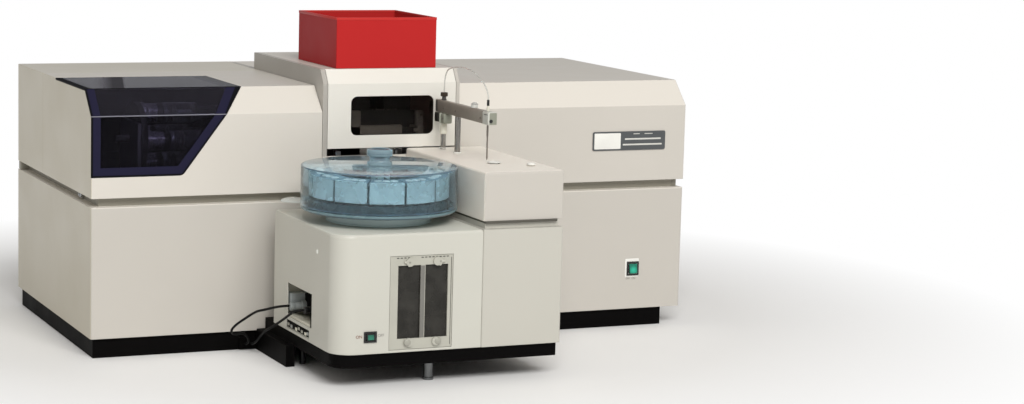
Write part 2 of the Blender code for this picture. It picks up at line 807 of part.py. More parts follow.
def smooth_route(points, spacing):
    """Evenly spaced points on the smooth curve through a cord's own points."""
    fine_steps = 24
    fine = []
    for index in range(len(points) - 1):
        fine += [spline_point(points, index, step / fine_steps) for step in range(fine_steps)]
    fine.append(Vector(points[-1]))
    lengths = [0.0]
    for first, second in zip(fine, fine[1:]):
        lengths.append(lengths[-1] + (second - first).length)
    count = max(2, round(lengths[-1] / spacing))
    route = []
    cursor = 0
    for step in range(count + 1):
        goal = lengths[-1] * step / count
        while cursor < len(lengths) - 2 and lengths[cursor + 1] < goal:
            cursor += 1
        share = (goal - lengths[cursor]) / (lengths[cursor + 1] - lengths[cursor])
        route.append(fine[cursor].lerp(fine[cursor + 1], share))
    return route


def tube(name, route, radius, finish):
    """A cord: a round tube along its route, with closed ends."""
    curve = bpy.data.curves.new(name, "CURVE")
    curve.dimensions = "3D"
    curve.bevel_depth = radius
    curve.bevel_resolution = 2
    curve.use_fill_caps = True
    spline = curve.splines.new("POLY")
    spline.points.add(len(route) - 1)
    start = route[0]
    for point, place in zip(spline.points, route):
        point.co = (*(place - start), 1)
    return add(name, curve, finish, start)


def light_path(name):
    """The bore along the optical axis, which clears each wall that the light crosses."""
    return cylinder(name, LIGHT_PATH_RADIUS, (LEFT + LAMP_BOX_WIDTH - DECK_FLANGE, AXIS_Y, AXIS_HEIGHT),
                    CENTRE_WIDTH + MONO_CASE_LEFT + 2 * DECK_FLANGE, None, ALONG_X, 24)


def make_plinth():
    low = (LEFT + PLINTH_INSET_LEFT, FRONT + PLINTH_INSET_FRONT, 0)
    high = (RIGHT - PLINTH_INSET_RIGHT, BACK - PLINTH_INSET_BACK, PLINTH_HEIGHT)
    plinth = shell("base_plinth", low, high, PLINTH_WALL, "black_paint", open_sides=[(2, 1)])
    port_front = FRONT + PLINTH_INSET_FRONT - CABLE_PORT_PROUD
    port_left = LEFT + CABLE_PORT_X - CABLE_PORT_WIDTH / 2
    port_bottom = CABLE_PORT_Z - CABLE_PORT_HEIGHT / 2
    port = block("cable_port", (port_left, port_front, port_bottom),
                 (port_left + CABLE_PORT_WIDTH, FRONT + PLINTH_INSET_FRONT + PLINTH_WALL / 2,
                  port_bottom + CABLE_PORT_HEIGHT), None)
    return join(plinth, port)


def make_lower_body(holes):
    """The lower case: a tray of sheet that the deck closes on top and the rear panel at the back."""
    body = shell("lower_body", (LEFT, FRONT, LOWER_BOTTOM), (RIGHT, BACK, LOWER_TOP), SHEET,
                 "cream_paint", open_sides=[(1, 1), (2, 1)], corners=front_corners,
                 corner_radius=CASE_CORNER)
    for cutter in holes:
        cut(body, cutter)
    return body


def make_rear_panel():
    face = BACK - SHEET - TOUCH
    edge = SHEET + TOUCH
    low = (LEFT + edge, face - REAR_SHEET, LOWER_BOTTOM + edge)
    high = (RIGHT - edge, face, LOWER_TOP - edge)
    panel = block("rear_panel", low, high, "cream_paint")
    for row in range(LOUVRE_COUNT):
        height = LOUVRE_Z + row * LOUVRE_PITCH
        slot = block("louvre_%d" % row,
                     (LEFT + LOUVRE_X, face - REAR_SHEET - OVERRUN, height),
                     (LEFT + LOUVRE_X + LOUVRE_WIDTH, face + OVERRUN, height + LOUVRE_SLOT), None)
        cut(panel, slot)
    return panel


def make_mains_inlet(panel):
    face = BACK - SHEET - TOUCH
    left = LEFT + INLET_X
    low = (left, face - REAR_SHEET - INLET_DEPTH, INLET_Z)
    high = (left + INLET_WIDTH, face + TOUCH + INLET_FLANGE_SHEET / 2, INLET_Z + INLET_HEIGHT)
    inlet = block("mains_inlet", low, high, "black_plastic")
    flange = block("inlet_flange", (left - INLET_FLANGE, face + TOUCH, INLET_Z - INLET_FLANGE),
                   (left + INLET_WIDTH + INLET_FLANGE, face + TOUCH + INLET_FLANGE_SHEET,
                    INLET_Z + INLET_HEIGHT + INLET_FLANGE), None)
    join(inlet, flange)
    socket = block("inlet_socket", (left + INLET_WALL, low[1] + INLET_WALL, INLET_Z + INLET_WALL),
                   (left + INLET_WIDTH - INLET_WALL, face + OVERRUN,
                    INLET_Z + INLET_HEIGHT - INLET_WALL), None)
    cut(inlet, socket)
    hole = block("inlet_hole", (left - RUNNING_GAP, face - REAR_SHEET - OVERRUN, INLET_Z - RUNNING_GAP),
                 (left + INLET_WIDTH + RUNNING_GAP, face + OVERRUN,
                  INLET_Z + INLET_HEIGHT + RUNNING_GAP), None)
    cut(panel, hole)
    return inlet


def make_power_supply():
    floor = LOWER_BOTTOM + SHEET + TOUCH
    low = (LEFT + SUPPLY_X, FRONT + SUPPLY_Y, floor)
    high = (LEFT + SUPPLY_X + SUPPLY_WIDTH, FRONT + SUPPLY_Y + SUPPLY_DEPTH, floor + SUPPLY_HEIGHT)
    return shell("power_supply", low, high, SHEET, "zinc_steel", open_sides=[(2, -1)])


def make_deck():
    """The deck between the halves: a slab on a sheet that closes the top of the lower case."""
    deck = block("optical_bench", (LEFT + DECK_INSET, FRONT + DECK_INSET, LOWER_TOP - SHEET / 2),
                 (RIGHT - DECK_INSET, BACK - DECK_INSET, DECK_TOP), "dark_casting")
    edge = SHEET + TOUCH
    centre, size = centre_and_size((LEFT + edge, FRONT + edge, LOWER_TOP - SHEET),
                                   (RIGHT - edge, BACK, LOWER_TOP))
    bm = bmesh.new()
    bmesh.ops.create_cube(bm, size=1.0)
    bmesh.ops.scale(bm, vec=size, verts=bm.verts)
    picked = [item for item in bm.edges if front_corners(item, size / 2)]
    bmesh.ops.bevel(bm, geom=picked, offset=CASE_CORNER - edge, segments=3, profile=0.5,
                    affect="EDGES")
    join(deck, add("deck_sheet", mesh_from(bm, "deck_sheet"), None, centre))
    return deck


def lid_path():
    """The lid's folded line, from the sill up the front, over the chamfer and back."""
    return [
        (FRONT, LID_BOTTOM),
        (FRONT, UPPER_TOP - FRONT_CHAMFER),
        (FRONT + FRONT_CHAMFER, UPPER_TOP),
        (FRONT + LID_DEPTH, UPPER_TOP),
    ]


def lid_outline(grow):
    """The lid seen from the front, with its slanted right edge, grown on its free sides."""
    corner_x = LEFT + LID_WIDTH_BOTTOM + grow
    bottom = LID_BOTTOM - grow
    fold_x = LEFT + LID_WIDTH_FOLD + grow
    fold_z = UPPER_TOP - FRONT_CHAMFER
    top_x = LEFT + LID_WIDTH_TOP + grow
    rise = math.atan2(fold_z - LID_BOTTOM, LID_WIDTH_FOLD - LID_WIDTH_BOTTOM)
    reach = LID_CORNER * math.tan(rise / 2)
    points = [(LEFT - OVERRUN, bottom)]
    steps = 4
    for step in range(steps + 1):
        angle = -math.pi / 2 + rise * step / steps
        points.append((corner_x - reach + LID_CORNER * math.cos(angle),
                       bottom + LID_CORNER + LID_CORNER * math.sin(angle)))
    points += [(fold_x, fold_z), (top_x, UPPER_TOP), (top_x, UPPER_TOP + OVERRUN),
               (LEFT - OVERRUN, UPPER_TOP + OVERRUN)]
    return points


def lid_prism(name, grow):
    return outline(name, lid_outline(grow), CABINET_DEPTH, None,
                   (0, FRONT + CABINET_DEPTH / 2 - OVERRUN, 0), FRONT_PLANE)


def make_lamp_housing(light):
    low = (LEFT, FRONT, UPPER_BOTTOM)
    high = (LEFT + LAMP_BOX_WIDTH, FRONT + LAMP_BOX_DEPTH, UPPER_TOP)
    housing = shell("lamp_housing", low, high, SHEET, "cream_paint", open_sides=[(1, 1)],
                    ring_sides=[(2, -1, DECK_FLANGE)], chamfer=FRONT_CHAMFER)
    path = lid_path()
    slot_end = FRONT + LID_DEPTH + 4 * TOUCH + 2 * HINGE_PIN_RADIUS
    path[0] = (FRONT, LID_BOTTOM - LID_GAP)
    path[-1] = (slot_end, UPPER_TOP)
    opening = bent_sheet("lid_opening", path, LID_SHEET + TOUCH, LEFT - OVERRUN,
                         LEFT + LAMP_BOX_WIDTH, None, proud=OVERRUN)
    combine(opening, lid_prism("lid_opening_prism", LID_GAP), "INTERSECT")
    cut(housing, opening)
    cut(housing, light)
    return housing


def make_lamp_lid():
    hinge_y = FRONT + LID_DEPTH + TOUCH + HINGE_PIN_RADIUS
    hinge_z = UPPER_TOP - LID_SHEET / 2
    lid = bent_sheet("lamp_lid", lid_path(), LID_SHEET, LEFT, LEFT + LAMP_BOX_WIDTH,
                     "smoked_acrylic")
    combine(lid, lid_prism("lid_prism", 0.0), "INTERSECT")
    pin = cylinder("lid_hinge_pin", HINGE_PIN_RADIUS, (LEFT + TOUCH, hinge_y, hinge_z),
                   LID_WIDTH_TOP - 2 * LID_SHEET, "zinc_steel", ALONG_X, 12)
    carry(pivot("lid_hinge_axis", (LEFT + LID_WIDTH_TOP / 2, hinge_y, hinge_z)), lid)
    return lid, pin


def make_rear_cover():
    low = (LEFT, FRONT + LAMP_BOX_DEPTH + PANEL_GAP, UPPER_BOTTOM)
    high = (LEFT + LAMP_BOX_WIDTH, BACK, UPPER_TOP)
    return shell("lamp_rear_cover", low, high, SHEET, "cream_paint", open_sides=[(1, -1)],
                 ring_sides=[(2, -1, DECK_FLANGE)])


def make_turret():
    bracket_x = LEFT + TURRET_PLACE - RUNNING_GAP - BRACKET_THICKNESS
    wall_low = (bracket_x, AXIS_Y - BRACKET_WIDTH / 2, UPPER_BOTTOM)
    wall_high = (bracket_x + BRACKET_THICKNESS, AXIS_Y + BRACKET_WIDTH / 2,
                 TURRET_Z + TURRET_RADIUS / 2)
    bracket = block("turret_bracket", wall_low, wall_high, "zinc_steel")
    foot = block("bracket_foot", (bracket_x - BRACKET_FOOT, wall_low[1], UPPER_BOTTOM),
                 (bracket_x + BRACKET_THICKNESS / 2, wall_high[1], UPPER_BOTTOM + BRACKET_THICKNESS),
                 None)
    join(bracket, foot)
    bore = cylinder("bracket_bore", SHAFT_RADIUS + TOUCH, (bracket_x - OVERRUN, AXIS_Y, TURRET_Z),
                    BRACKET_THICKNESS + 2 * OVERRUN, None, ALONG_X)
    cut(bracket, bore)
    front = TURRET_THICKNESS
    turret = turned("lamp_turret",
                    [(0, front), (TURRET_RADIUS, front), (TURRET_RADIUS, 0), (SHAFT_RADIUS, 0),
                     (SHAFT_RADIUS, -SHAFT_LENGTH), (0, -SHAFT_LENGTH)],
                    "dark_casting", (LEFT + TURRET_PLACE, AXIS_Y, TURRET_Z), ALONG_X, 36)
    axis = pivot("turret_axis", (LEFT + TURRET_PLACE, AXIS_Y, TURRET_Z))
    carry(axis, turret)
    for index in range(LAMP_COUNT):
        carry(axis, make_lamp(index))
    return turret


def make_lamp(index):
    """A hollow cathode lamp: a black base, a neck and a glass envelope with a flat window."""
    angle = 2 * math.pi * index / LAMP_COUNT + math.pi / 2
    place = (LEFT + TURRET_PLACE + TURRET_THICKNESS + TOUCH,
             AXIS_Y + LAMP_CIRCLE * math.cos(angle),
             TURRET_Z + LAMP_CIRCLE * math.sin(angle))
    shoulder = LAMP_BASE_LENGTH + LAMP_GLASS_RADIUS
    profile = [
        (0, LAMP_LENGTH),
        (LAMP_GLASS_RADIUS, LAMP_LENGTH),
        (LAMP_GLASS_RADIUS, LAMP_LENGTH - LAMP_BASE_LENGTH),
        (LAMP_NECK_RADIUS, LAMP_LENGTH - LAMP_BASE_LENGTH - LAMP_NECK_RADIUS),
        (LAMP_NECK_RADIUS, shoulder),
        (LAMP_BASE_RADIUS, LAMP_BASE_LENGTH),
        (LAMP_BASE_RADIUS, 0),
        (0, 0),
    ]
    return turned("cathode_lamp_%d" % (index + 1), profile, "lamp_glass", place, ALONG_X, 24)


def make_centre_frame(light):
    """Both cheeks beside the furnace and the front strip under its slot, as one frame."""
    profile = [
        (FRONT, UPPER_BOTTOM),
        (BACK, UPPER_BOTTOM),
        (BACK, UPPER_TOP),
        (FRONT + RAISED_DEPTH, UPPER_TOP),
        (FRONT + RAISED_DEPTH, RAISED_TOP),
        (FRONT + SLOPE_DEPTH, RAISED_TOP),
        (FRONT, KNEE_HEIGHT),
    ]
    frame = outline("centre_frame", profile, CHEEK_LEFT, "cream_paint",
                    (CENTRE_LEFT + CHEEK_LEFT / 2, 0, 0), SIDE_PLANE)
    right = outline("right_cheek", profile, CHEEK_RIGHT, None,
                    (CENTRE_RIGHT - CHEEK_RIGHT / 2, 0, 0), SIDE_PLANE)
    strip = block("front_strip",
                  (CENTRE_LEFT + CHEEK_LEFT / 2, FRONT + STRIP_RECESS, UPPER_BOTTOM),
                  (CENTRE_RIGHT - CHEEK_RIGHT / 2, FRONT + STRIP_RECESS + SHEET, STRIP_TOP), None)
    join(frame, strip)
    join(frame, right)
    cut(frame, light)
    return frame


def make_centre_top():
    front = FRONT + SLOPE_DEPTH + TOUCH
    step = FRONT + RAISED_DEPTH
    path = [(front, RAISED_TOP), (step, RAISED_TOP), (step, UPPER_TOP), (BACK, UPPER_TOP),
            (BACK, UPPER_BOTTOM)]
    top = bent_sheet("centre_top", path, SHEET, COVER_LEFT + TOUCH, COVER_RIGHT - TOUCH,
                     "cream_paint")
    left = CENTRE_LEFT + CHIMNEY_OFFSET
    hole = block("chimney_hole",
                 (left + CHIMNEY_LEDGE, FRONT + CHIMNEY_FRONT + CHIMNEY_LEDGE, RAISED_TOP - OVERRUN),
                 (left + CHIMNEY_WIDTH - CHIMNEY_LEDGE,
                  FRONT + CHIMNEY_FRONT + CHIMNEY_DEPTH - CHIMNEY_LEDGE, RAISED_TOP + OVERRUN), None)
    return cut(top, hole)


def make_chimney():
    left = CENTRE_LEFT + CHIMNEY_OFFSET
    low = (left, FRONT + CHIMNEY_FRONT, RAISED_TOP + TOUCH)
    high = (left + CHIMNEY_WIDTH, FRONT + CHIMNEY_FRONT + CHIMNEY_DEPTH,
            RAISED_TOP + TOUCH + CHIMNEY_HEIGHT)
    return shell("fume_chimney", low, high, CHIMNEY_WALL, "red_enamel",
                 open_sides=[(2, 1), (2, -1)])


def make_furnace_cover():
    left = COVER_LEFT + COVER_GAP
    right = COVER_RIGHT - COVER_GAP
    path = [(FRONT, COVER_BOTTOM), (FRONT, KNEE_HEIGHT), (FRONT + SLOPE_DEPTH, RAISED_TOP)]
    cover = bent_sheet("furnace_cover", path, COVER_SHEET, left, right, "warm_white_paint")
    trim = block("cover_trim", (left - OVERRUN, FRONT + SLOPE_DEPTH, COVER_BOTTOM),
                 (right + OVERRUN, FRONT + RAISED_DEPTH, RAISED_TOP + OVERRUN), None)
    cut(cover, trim)
    window_left = CENTRE_LEFT + WINDOW_LEFT
    window_right = window_left + WINDOW_WIDTH
    window_top = WINDOW_BOTTOM + WINDOW_HEIGHT
    hole = outline("window_hole",
                   rounded_rectangle(window_left, window_right, WINDOW_BOTTOM, window_top,
                                     WINDOW_CORNER),
                   2 * OVERRUN, None, (0, FRONT, 0), FRONT_PLANE)
    cut(cover, hole)
    glass_front = FRONT + COVER_SHEET + TOUCH
    glass = outline("furnace_window",
                    rounded_rectangle(window_left - WINDOW_LAP, window_right + WINDOW_LAP,
                                      WINDOW_BOTTOM - WINDOW_LAP, window_top + WINDOW_LAP,
                                      WINDOW_CORNER + WINDOW_LAP),
                    WINDOW_GLASS, "dark_window", (0, glass_front + WINDOW_GLASS / 2, 0), FRONT_PLANE)
    return cover, glass


def make_furnace():
    """The furnace: a cradle with its fixed electrode, the tube, and the jaw that opens."""
    middle = (COVER_LEFT + COVER_RIGHT) / 2
    tube_left = middle - TUBE_LENGTH / 2
    tube_right = middle + TUBE_LENGTH / 2
    fixed_right = tube_left + SEAT_DEPTH - TOUCH
    jaw_left = tube_right - SEAT_DEPTH + TOUCH
    half = ELECTRODE_DEPTH / 2
    top = AXIS_HEIGHT + ELECTRODE_RISE
    foot_top = UPPER_BOTTOM + CRADLE_FOOT
    cradle = block("furnace_cradle", (middle - CRADLE_LENGTH / 2, AXIS_Y - CRADLE_DEPTH / 2,
                                      UPPER_BOTTOM),
                   (middle + CRADLE_LENGTH / 2, AXIS_Y + CRADLE_DEPTH / 2, foot_top), "zinc_steel")
    fixed = block("fixed_electrode", (fixed_right - ELECTRODE_LENGTH, AXIS_Y - half,
                                      UPPER_BOTTOM + CRADLE_FOOT / 2),
                  (fixed_right, AXIS_Y + half, top), None)
    join(cradle, fixed)
    for name, start, reach, radius in (
            ("fixed_bore", fixed_right - ELECTRODE_LENGTH - OVERRUN, ELECTRODE_LENGTH + 2 * OVERRUN,
             TUBE_BORE),
            ("fixed_seat", fixed_right - SEAT_DEPTH, SEAT_DEPTH + OVERRUN, TUBE_RADIUS + TOUCH)):
        cut(cradle, cylinder(name, radius, (start, AXIS_Y, AXIS_HEIGHT), reach, None, ALONG_X, 24))
    jaw = block("furnace_jaw", (jaw_left, AXIS_Y - half, foot_top + TOUCH),
                (jaw_left + ELECTRODE_LENGTH, AXIS_Y + half, top), "dark_casting")
    for name, start, reach, radius in (
            ("jaw_bore", jaw_left - OVERRUN, ELECTRODE_LENGTH + 2 * OVERRUN, TUBE_BORE),
            ("jaw_seat", jaw_left - OVERRUN, SEAT_DEPTH + OVERRUN, TUBE_RADIUS + TOUCH)):
        cut(jaw, cylinder(name, radius, (start, AXIS_Y, AXIS_HEIGHT), reach, None, ALONG_X, 24))
    graphite = turned("graphite_tube",
                      [(TUBE_RADIUS, TUBE_LENGTH), (TUBE_RADIUS, 0), (TUBE_BORE, 0),
                       (TUBE_BORE, TUBE_LENGTH)],
                      "graphite", (tube_left, AXIS_Y, AXIS_HEIGHT), ALONG_X, 24, ring=True)
    return cradle, jaw, graphite


def make_mono_housing(light):
    low = (MONO_LEFT, FRONT, UPPER_BOTTOM)
    high = (RIGHT, BACK, UPPER_TOP)
    housing = shell("mono_housing", low, high, SHEET, "cream_paint",
                    ring_sides=[(2, -1, DECK_FLANGE)], chamfer=FRONT_CHAMFER)
    return cut(housing, light)


def make_monochromator():
    low = (MONO_LEFT + MONO_CASE_LEFT, FRONT + MONO_CASE_FRONT, UPPER_BOTTOM)
    high = (low[0] + MONO_CASE_WIDTH, low[1] + MONO_CASE_DEPTH, UPPER_BOTTOM + MONO_CASE_HEIGHT)
    case = shell("monochromator", low, high, MONO_CASE_WALL, "dark_casting", open_sides=[(2, -1)])
    slit = cylinder("entrance_slit", TUBE_BORE, (low[0] - OVERRUN, AXIS_Y, AXIS_HEIGHT),
                    MONO_CASE_WALL + 2 * OVERRUN, None, ALONG_X, 16)
    cut(case, slit)
    detector = cylinder("detector_housing", DETECTOR_RADIUS,
                        (high[0] - MONO_CASE_WALL / 2, AXIS_Y, AXIS_HEIGHT - DETECTOR_RADIUS / 2),
                        DETECTOR_LENGTH, None, ALONG_X, 24)
    return join(case, detector)


def make_nameplate():
    left = LEFT + NAMEPLATE_LEFT
    points = rounded_rectangle(left, left + NAMEPLATE_WIDTH, NAMEPLATE_BOTTOM,
                               NAMEPLATE_BOTTOM + NAMEPLATE_HEIGHT, NAMEPLATE_CORNER, 3)
    place = (0, FRONT - TOUCH - NAMEPLATE_SHEET / 2, 0)
    return outline("nameplate", points, NAMEPLATE_SHEET, "black_plastic", place, FRONT_PLANE)


def make_switch(prefix, middle_x, middle_z, face, width, height):
    """A rocker switch in its bezel. Returns the cutter for the panel that holds it."""
    half_w = width / 2
    half_h = height / 2
    bezel = block(prefix + "_bezel", (middle_x - half_w, face - TOUCH - BEZEL_PROUD, middle_z - half_h),
                  (middle_x + half_w, face - TOUCH, middle_z + half_h), "black_plastic")
    body_w = half_w - BEZEL_STEP
    body_h = half_h - BEZEL_STEP
    body = block(prefix + "_body", (middle_x - body_w, face - TOUCH - BEZEL_PROUD / 2,
                                    middle_z - body_h),
                 (middle_x + body_w, face + BEZEL_BODY, middle_z + body_h), None)
    join(bezel, body)
    hole_w = half_w - BEZEL_RIM
    hole_h = half_h - BEZEL_RIM
    well = block(prefix + "_well", (middle_x - hole_w, face - BEZEL_PROUD - OVERRUN, middle_z - hole_h),
                 (middle_x + hole_w, face + BEZEL_BODY + OVERRUN, middle_z + hole_h), None)
    cut(bezel, well)
    rocker_w = hole_w - ROCKER_GAP
    rocker_h = hole_h - ROCKER_GAP
    rocker = block(prefix + "_rocker", (middle_x - rocker_w, face - ROCKER_DEPTH / 2,
                                        middle_z - rocker_h),
                   (middle_x + rocker_w, face + ROCKER_DEPTH / 2, middle_z + rocker_h),
                   "green_plastic", edge=ROCKER_GAP, segments=1)
    rocker.rotation_euler = (math.radians(-ROCKER_TILT), 0, 0)
    panel_w = body_w + TOUCH
    panel_h = body_h + TOUCH
    return block(prefix + "_panel_hole", (middle_x - panel_w, face - OVERRUN, middle_z - panel_h),
                 (middle_x + panel_w, face + OVERRUN, middle_z + panel_h), None)


def make_support_frame():
    """The black base under the sampler with the rails that tie it to the cabinet."""
    left = SAMPLER_LEFT + BASE_INSET / 2
    right = TOWER_RIGHT - BASE_INSET
    front = SAMPLER_FRONT + BASE_INSET
    back = FRONT - BASE_INSET
    points = [(right, front), (right, back), (left, back)]
    steps = 6
    for step in range(steps + 1):
        angle = math.pi + math.pi / 2 * step / steps
        points.append((left + BASE_CORNER + BASE_CORNER * math.cos(angle),
                       front + BASE_CORNER + BASE_CORNER * math.sin(angle)))
    frame = outline("support_frame", points, BASE_THICKNESS, "black_paint",
                    (0, 0, BASE_BOTTOM + BASE_THICKNESS / 2), FLAT)
    plinth_front = FRONT + PLINTH_INSET_FRONT - TOUCH
    rail_left = SAMPLER_LEFT - RAIL_OUT
    short_left = right - RAIL_WIDTH
    for name, start, reach in (("left", rail_left, RAIL_REACH), ("right", short_left, SHORT_RAIL_REACH)):
        rail = block(name + "_rail", (start, FRONT - reach, 0),
                     (start + RAIL_WIDTH, FRONT - TOWER_BACK, RAIL_TOP), None)
        tongue = block(name + "_tongue", (start, FRONT - reach / 2, 0),
                       (start + RAIL_WIDTH, plinth_front, RAIL_TONGUE), None)
        join(frame, rail)
        join(frame, tongue)
    return frame


def make_leg(name, across, reach, radius):
    height = BASE_BOTTOM - TOUCH
    profile = [(0, height), (radius, height), (radius, LEG_EDGE), (radius - LEG_EDGE, 0), (0, 0)]
    return turned(name, profile, "zinc_steel", (LEFT + across, FRONT - reach, 0), steps=24)


def make_platform(switch_hole):
    low = (SAMPLER_LEFT, SAMPLER_FRONT, SAMPLER_BOTTOM)
    high = (PLATFORM_RIGHT, FRONT - PLATFORM_BACK, SAMPLER_TOP)
    platform = shell("platform_housing", low, high, SAMPLER_SHEET, "cream_paint",
                     ring_sides=[(2, -1, BASE_INSET + FLANGE_LAP)],
                     corners=front_left_corner, corner_radius=PLATFORM_CORNER, corner_segments=6,
                     edges=platform_top_edges, edge_radius=PLATFORM_EDGE)
    opening_front = FRONT - SIDE_OPENING_FRONT
    cut(platform, block("side_opening", (SAMPLER_LEFT - OVERRUN, opening_front, SIDE_OPENING_BOTTOM),
                        (SAMPLER_LEFT + OVERRUN, opening_front + SIDE_OPENING_LENGTH,
                         SIDE_OPENING_BOTTOM + SIDE_OPENING_HEIGHT), None))
    strip_front = FRONT - SOCKET_STRIP_FRONT
    cut(platform, block("strip_opening", (SAMPLER_LEFT - OVERRUN, strip_front, SOCKET_STRIP_BOTTOM),
                        (SAMPLER_LEFT + OVERRUN, strip_front + SOCKET_STRIP_LENGTH,
                         SOCKET_STRIP_BOTTOM + SOCKET_STRIP_HEIGHT), None))
    cut(platform, block("bay_opening", (LEFT + BAY_LEFT - BAY_GAP, SAMPLER_FRONT - OVERRUN,
                                        BAY_BOTTOM - BAY_GAP),
                        (LEFT + BAY_LEFT + BAY_WIDTH + BAY_GAP, SAMPLER_FRONT + OVERRUN,
                         BAY_BOTTOM + BAY_HEIGHT + BAY_GAP), None))
    cut(platform, switch_hole)
    return platform


def make_bay():
    """The syringe bay: its frame with four fixing knobs, the window, and two syringes."""
    left = LEFT + BAY_LEFT
    face = SAMPLER_FRONT + BAY_RECESS
    frame = block("bay_frame", (left, face, BAY_BOTTOM),
                  (left + BAY_WIDTH, face + BAY_FRAME, BAY_BOTTOM + BAY_HEIGHT), "white_plastic")
    pane_lefts = (left + PANE_LEFT, left + PANE_LEFT + PANE_WIDTH + PANE_BAR)
    pane_low = BAY_BOTTOM + PANE_BOTTOM
    pane_high = pane_low + PANE_HEIGHT
    for index, pane_left in enumerate(pane_lefts):
        cut(frame, block("pane_%d" % index, (pane_left, face - OVERRUN, pane_low),
                         (pane_left + PANE_WIDTH, face + BAY_FRAME + OVERRUN, pane_high), None))
    for index, pane_left in enumerate(pane_lefts):
        middle = pane_left + PANE_WIDTH / 2
        for level, height in (("low", BAY_KNOB_LOW), ("high", BAY_KNOB_HIGH)):
            knob = cylinder("bay_knob_%s_%d" % (level, index), BAY_KNOB_RADIUS,
                            (middle, face - BAY_KNOB_LENGTH, BAY_BOTTOM + height),
                            BAY_KNOB_LENGTH + BAY_FRAME / 2, None, ALONG_Y, 16)
            join(frame, knob)
    window_front = face + BAY_FRAME + TOUCH
    block("bay_window", (pane_lefts[0] - BAY_WINDOW_LAP, window_front, pane_low - BAY_WINDOW_LAP),
          (pane_lefts[1] + PANE_WIDTH + BAY_WINDOW_LAP, window_front + BAY_WINDOW,
           pane_high + BAY_WINDOW_LAP), "dark_window")
    block_front = window_front + BAY_WINDOW + TOUCH
    block_top = pane_high + SYRINGE_BLOCK_DROP
    block_bottom = block_top - SYRINGE_BLOCK_HEIGHT
    head = block("syringe_block", (pane_lefts[0], block_front, block_bottom),
                 (pane_lefts[1] + PANE_WIDTH, block_front + SYRINGE_BLOCK_DEPTH, block_top),
                 "cream_plastic")
    barrel_bottom = block_bottom - SYRINGE_LENGTH
    for index, pane_left in enumerate(pane_lefts):
        middle = (pane_left + PANE_WIDTH / 2, block_front + SYRINGE_BLOCK_DEPTH / 2, barrel_bottom)
        barrel = cylinder("barrel_%d" % index, SYRINGE_RADIUS, middle,
                          SYRINGE_LENGTH + SYRINGE_BLOCK_HEIGHT / 2, None, segments=20)
        join(head, barrel)
    for index, pane_left in enumerate(pane_lefts):
        middle = (pane_left + PANE_WIDTH / 2, block_front + SYRINGE_BLOCK_DEPTH / 2,
                  barrel_bottom - OVERRUN)
        bore = cylinder("barrel_bore_%d" % index, SYRINGE_BORE, middle, SYRINGE_LENGTH + OVERRUN,
                        None, segments=20)
        cut(head, bore)
        make_plunger(index, middle[0], middle[1], barrel_bottom)
    return frame


def make_plunger(index, across, depth, barrel_bottom):
    """A plunger drawn down to its stop, with its foot under the barrel."""
    top = barrel_bottom + SYRINGE_LENGTH - SYRINGE_STROKE - PLUNGER_SEAT
    foot_bottom = barrel_bottom - SYRINGE_STROKE - PLUNGER_FOOT_HEIGHT - PLUNGER_SEAT / 2
    radius = SYRINGE_BORE - PLUNGER_GAP
    height = top - foot_bottom
    profile = [(0, height), (radius, height), (radius, PLUNGER_FOOT_HEIGHT),
               (PLUNGER_FOOT_RADIUS, PLUNGER_FOOT_HEIGHT), (PLUNGER_FOOT_RADIUS, 0), (0, 0)]
    return turned("syringe_plunger_%d" % (index + 1), profile, "polished_steel",
                  (across, depth, foot_bottom), steps=20)


def make_socket_panel():
    """The bracket behind the side openings, with a socket strip and the cable glands."""
    strip_front = FRONT - SOCKET_STRIP_FRONT
    back = SAMPLER_LEFT + SAMPLER_SHEET + TOUCH
    opening_front = FRONT - SIDE_OPENING_FRONT
    low = (back, opening_front - FLANGE_LAP, SAMPLER_BOTTOM + SAMPLER_SHEET + TOUCH)
    high = (back + SOCKET_PLATE, opening_front + SIDE_OPENING_LENGTH + FLANGE_LAP,
            SIDE_OPENING_BOTTOM + SIDE_OPENING_HEIGHT + FLANGE_LAP)
    panel = block("socket_panel", low, high, "zinc_steel")
    strip = block("socket_strip", (SAMPLER_LEFT + SOCKET_PLATE_MARGIN, strip_front + PANEL_GAP,
                                   SOCKET_STRIP_BOTTOM + PANEL_GAP),
                  (back + SOCKET_PLATE / 2, strip_front + SOCKET_STRIP_LENGTH - PANEL_GAP,
                   SOCKET_STRIP_BOTTOM + SOCKET_STRIP_HEIGHT - PANEL_GAP), None)
    join(panel, strip)
    for index, (out, height) in enumerate(CABLE_GLANDS):
        gland = cylinder("gland_%d" % index, GLAND_RADIUS,
                         (SAMPLER_LEFT + GLAND_SET_BACK, FRONT - out, height),
                         SAMPLER_SHEET + SOCKET_PLATE / 2 - GLAND_SET_BACK + TOUCH, None, ALONG_X, 16)
        join(panel, gland)
    return panel


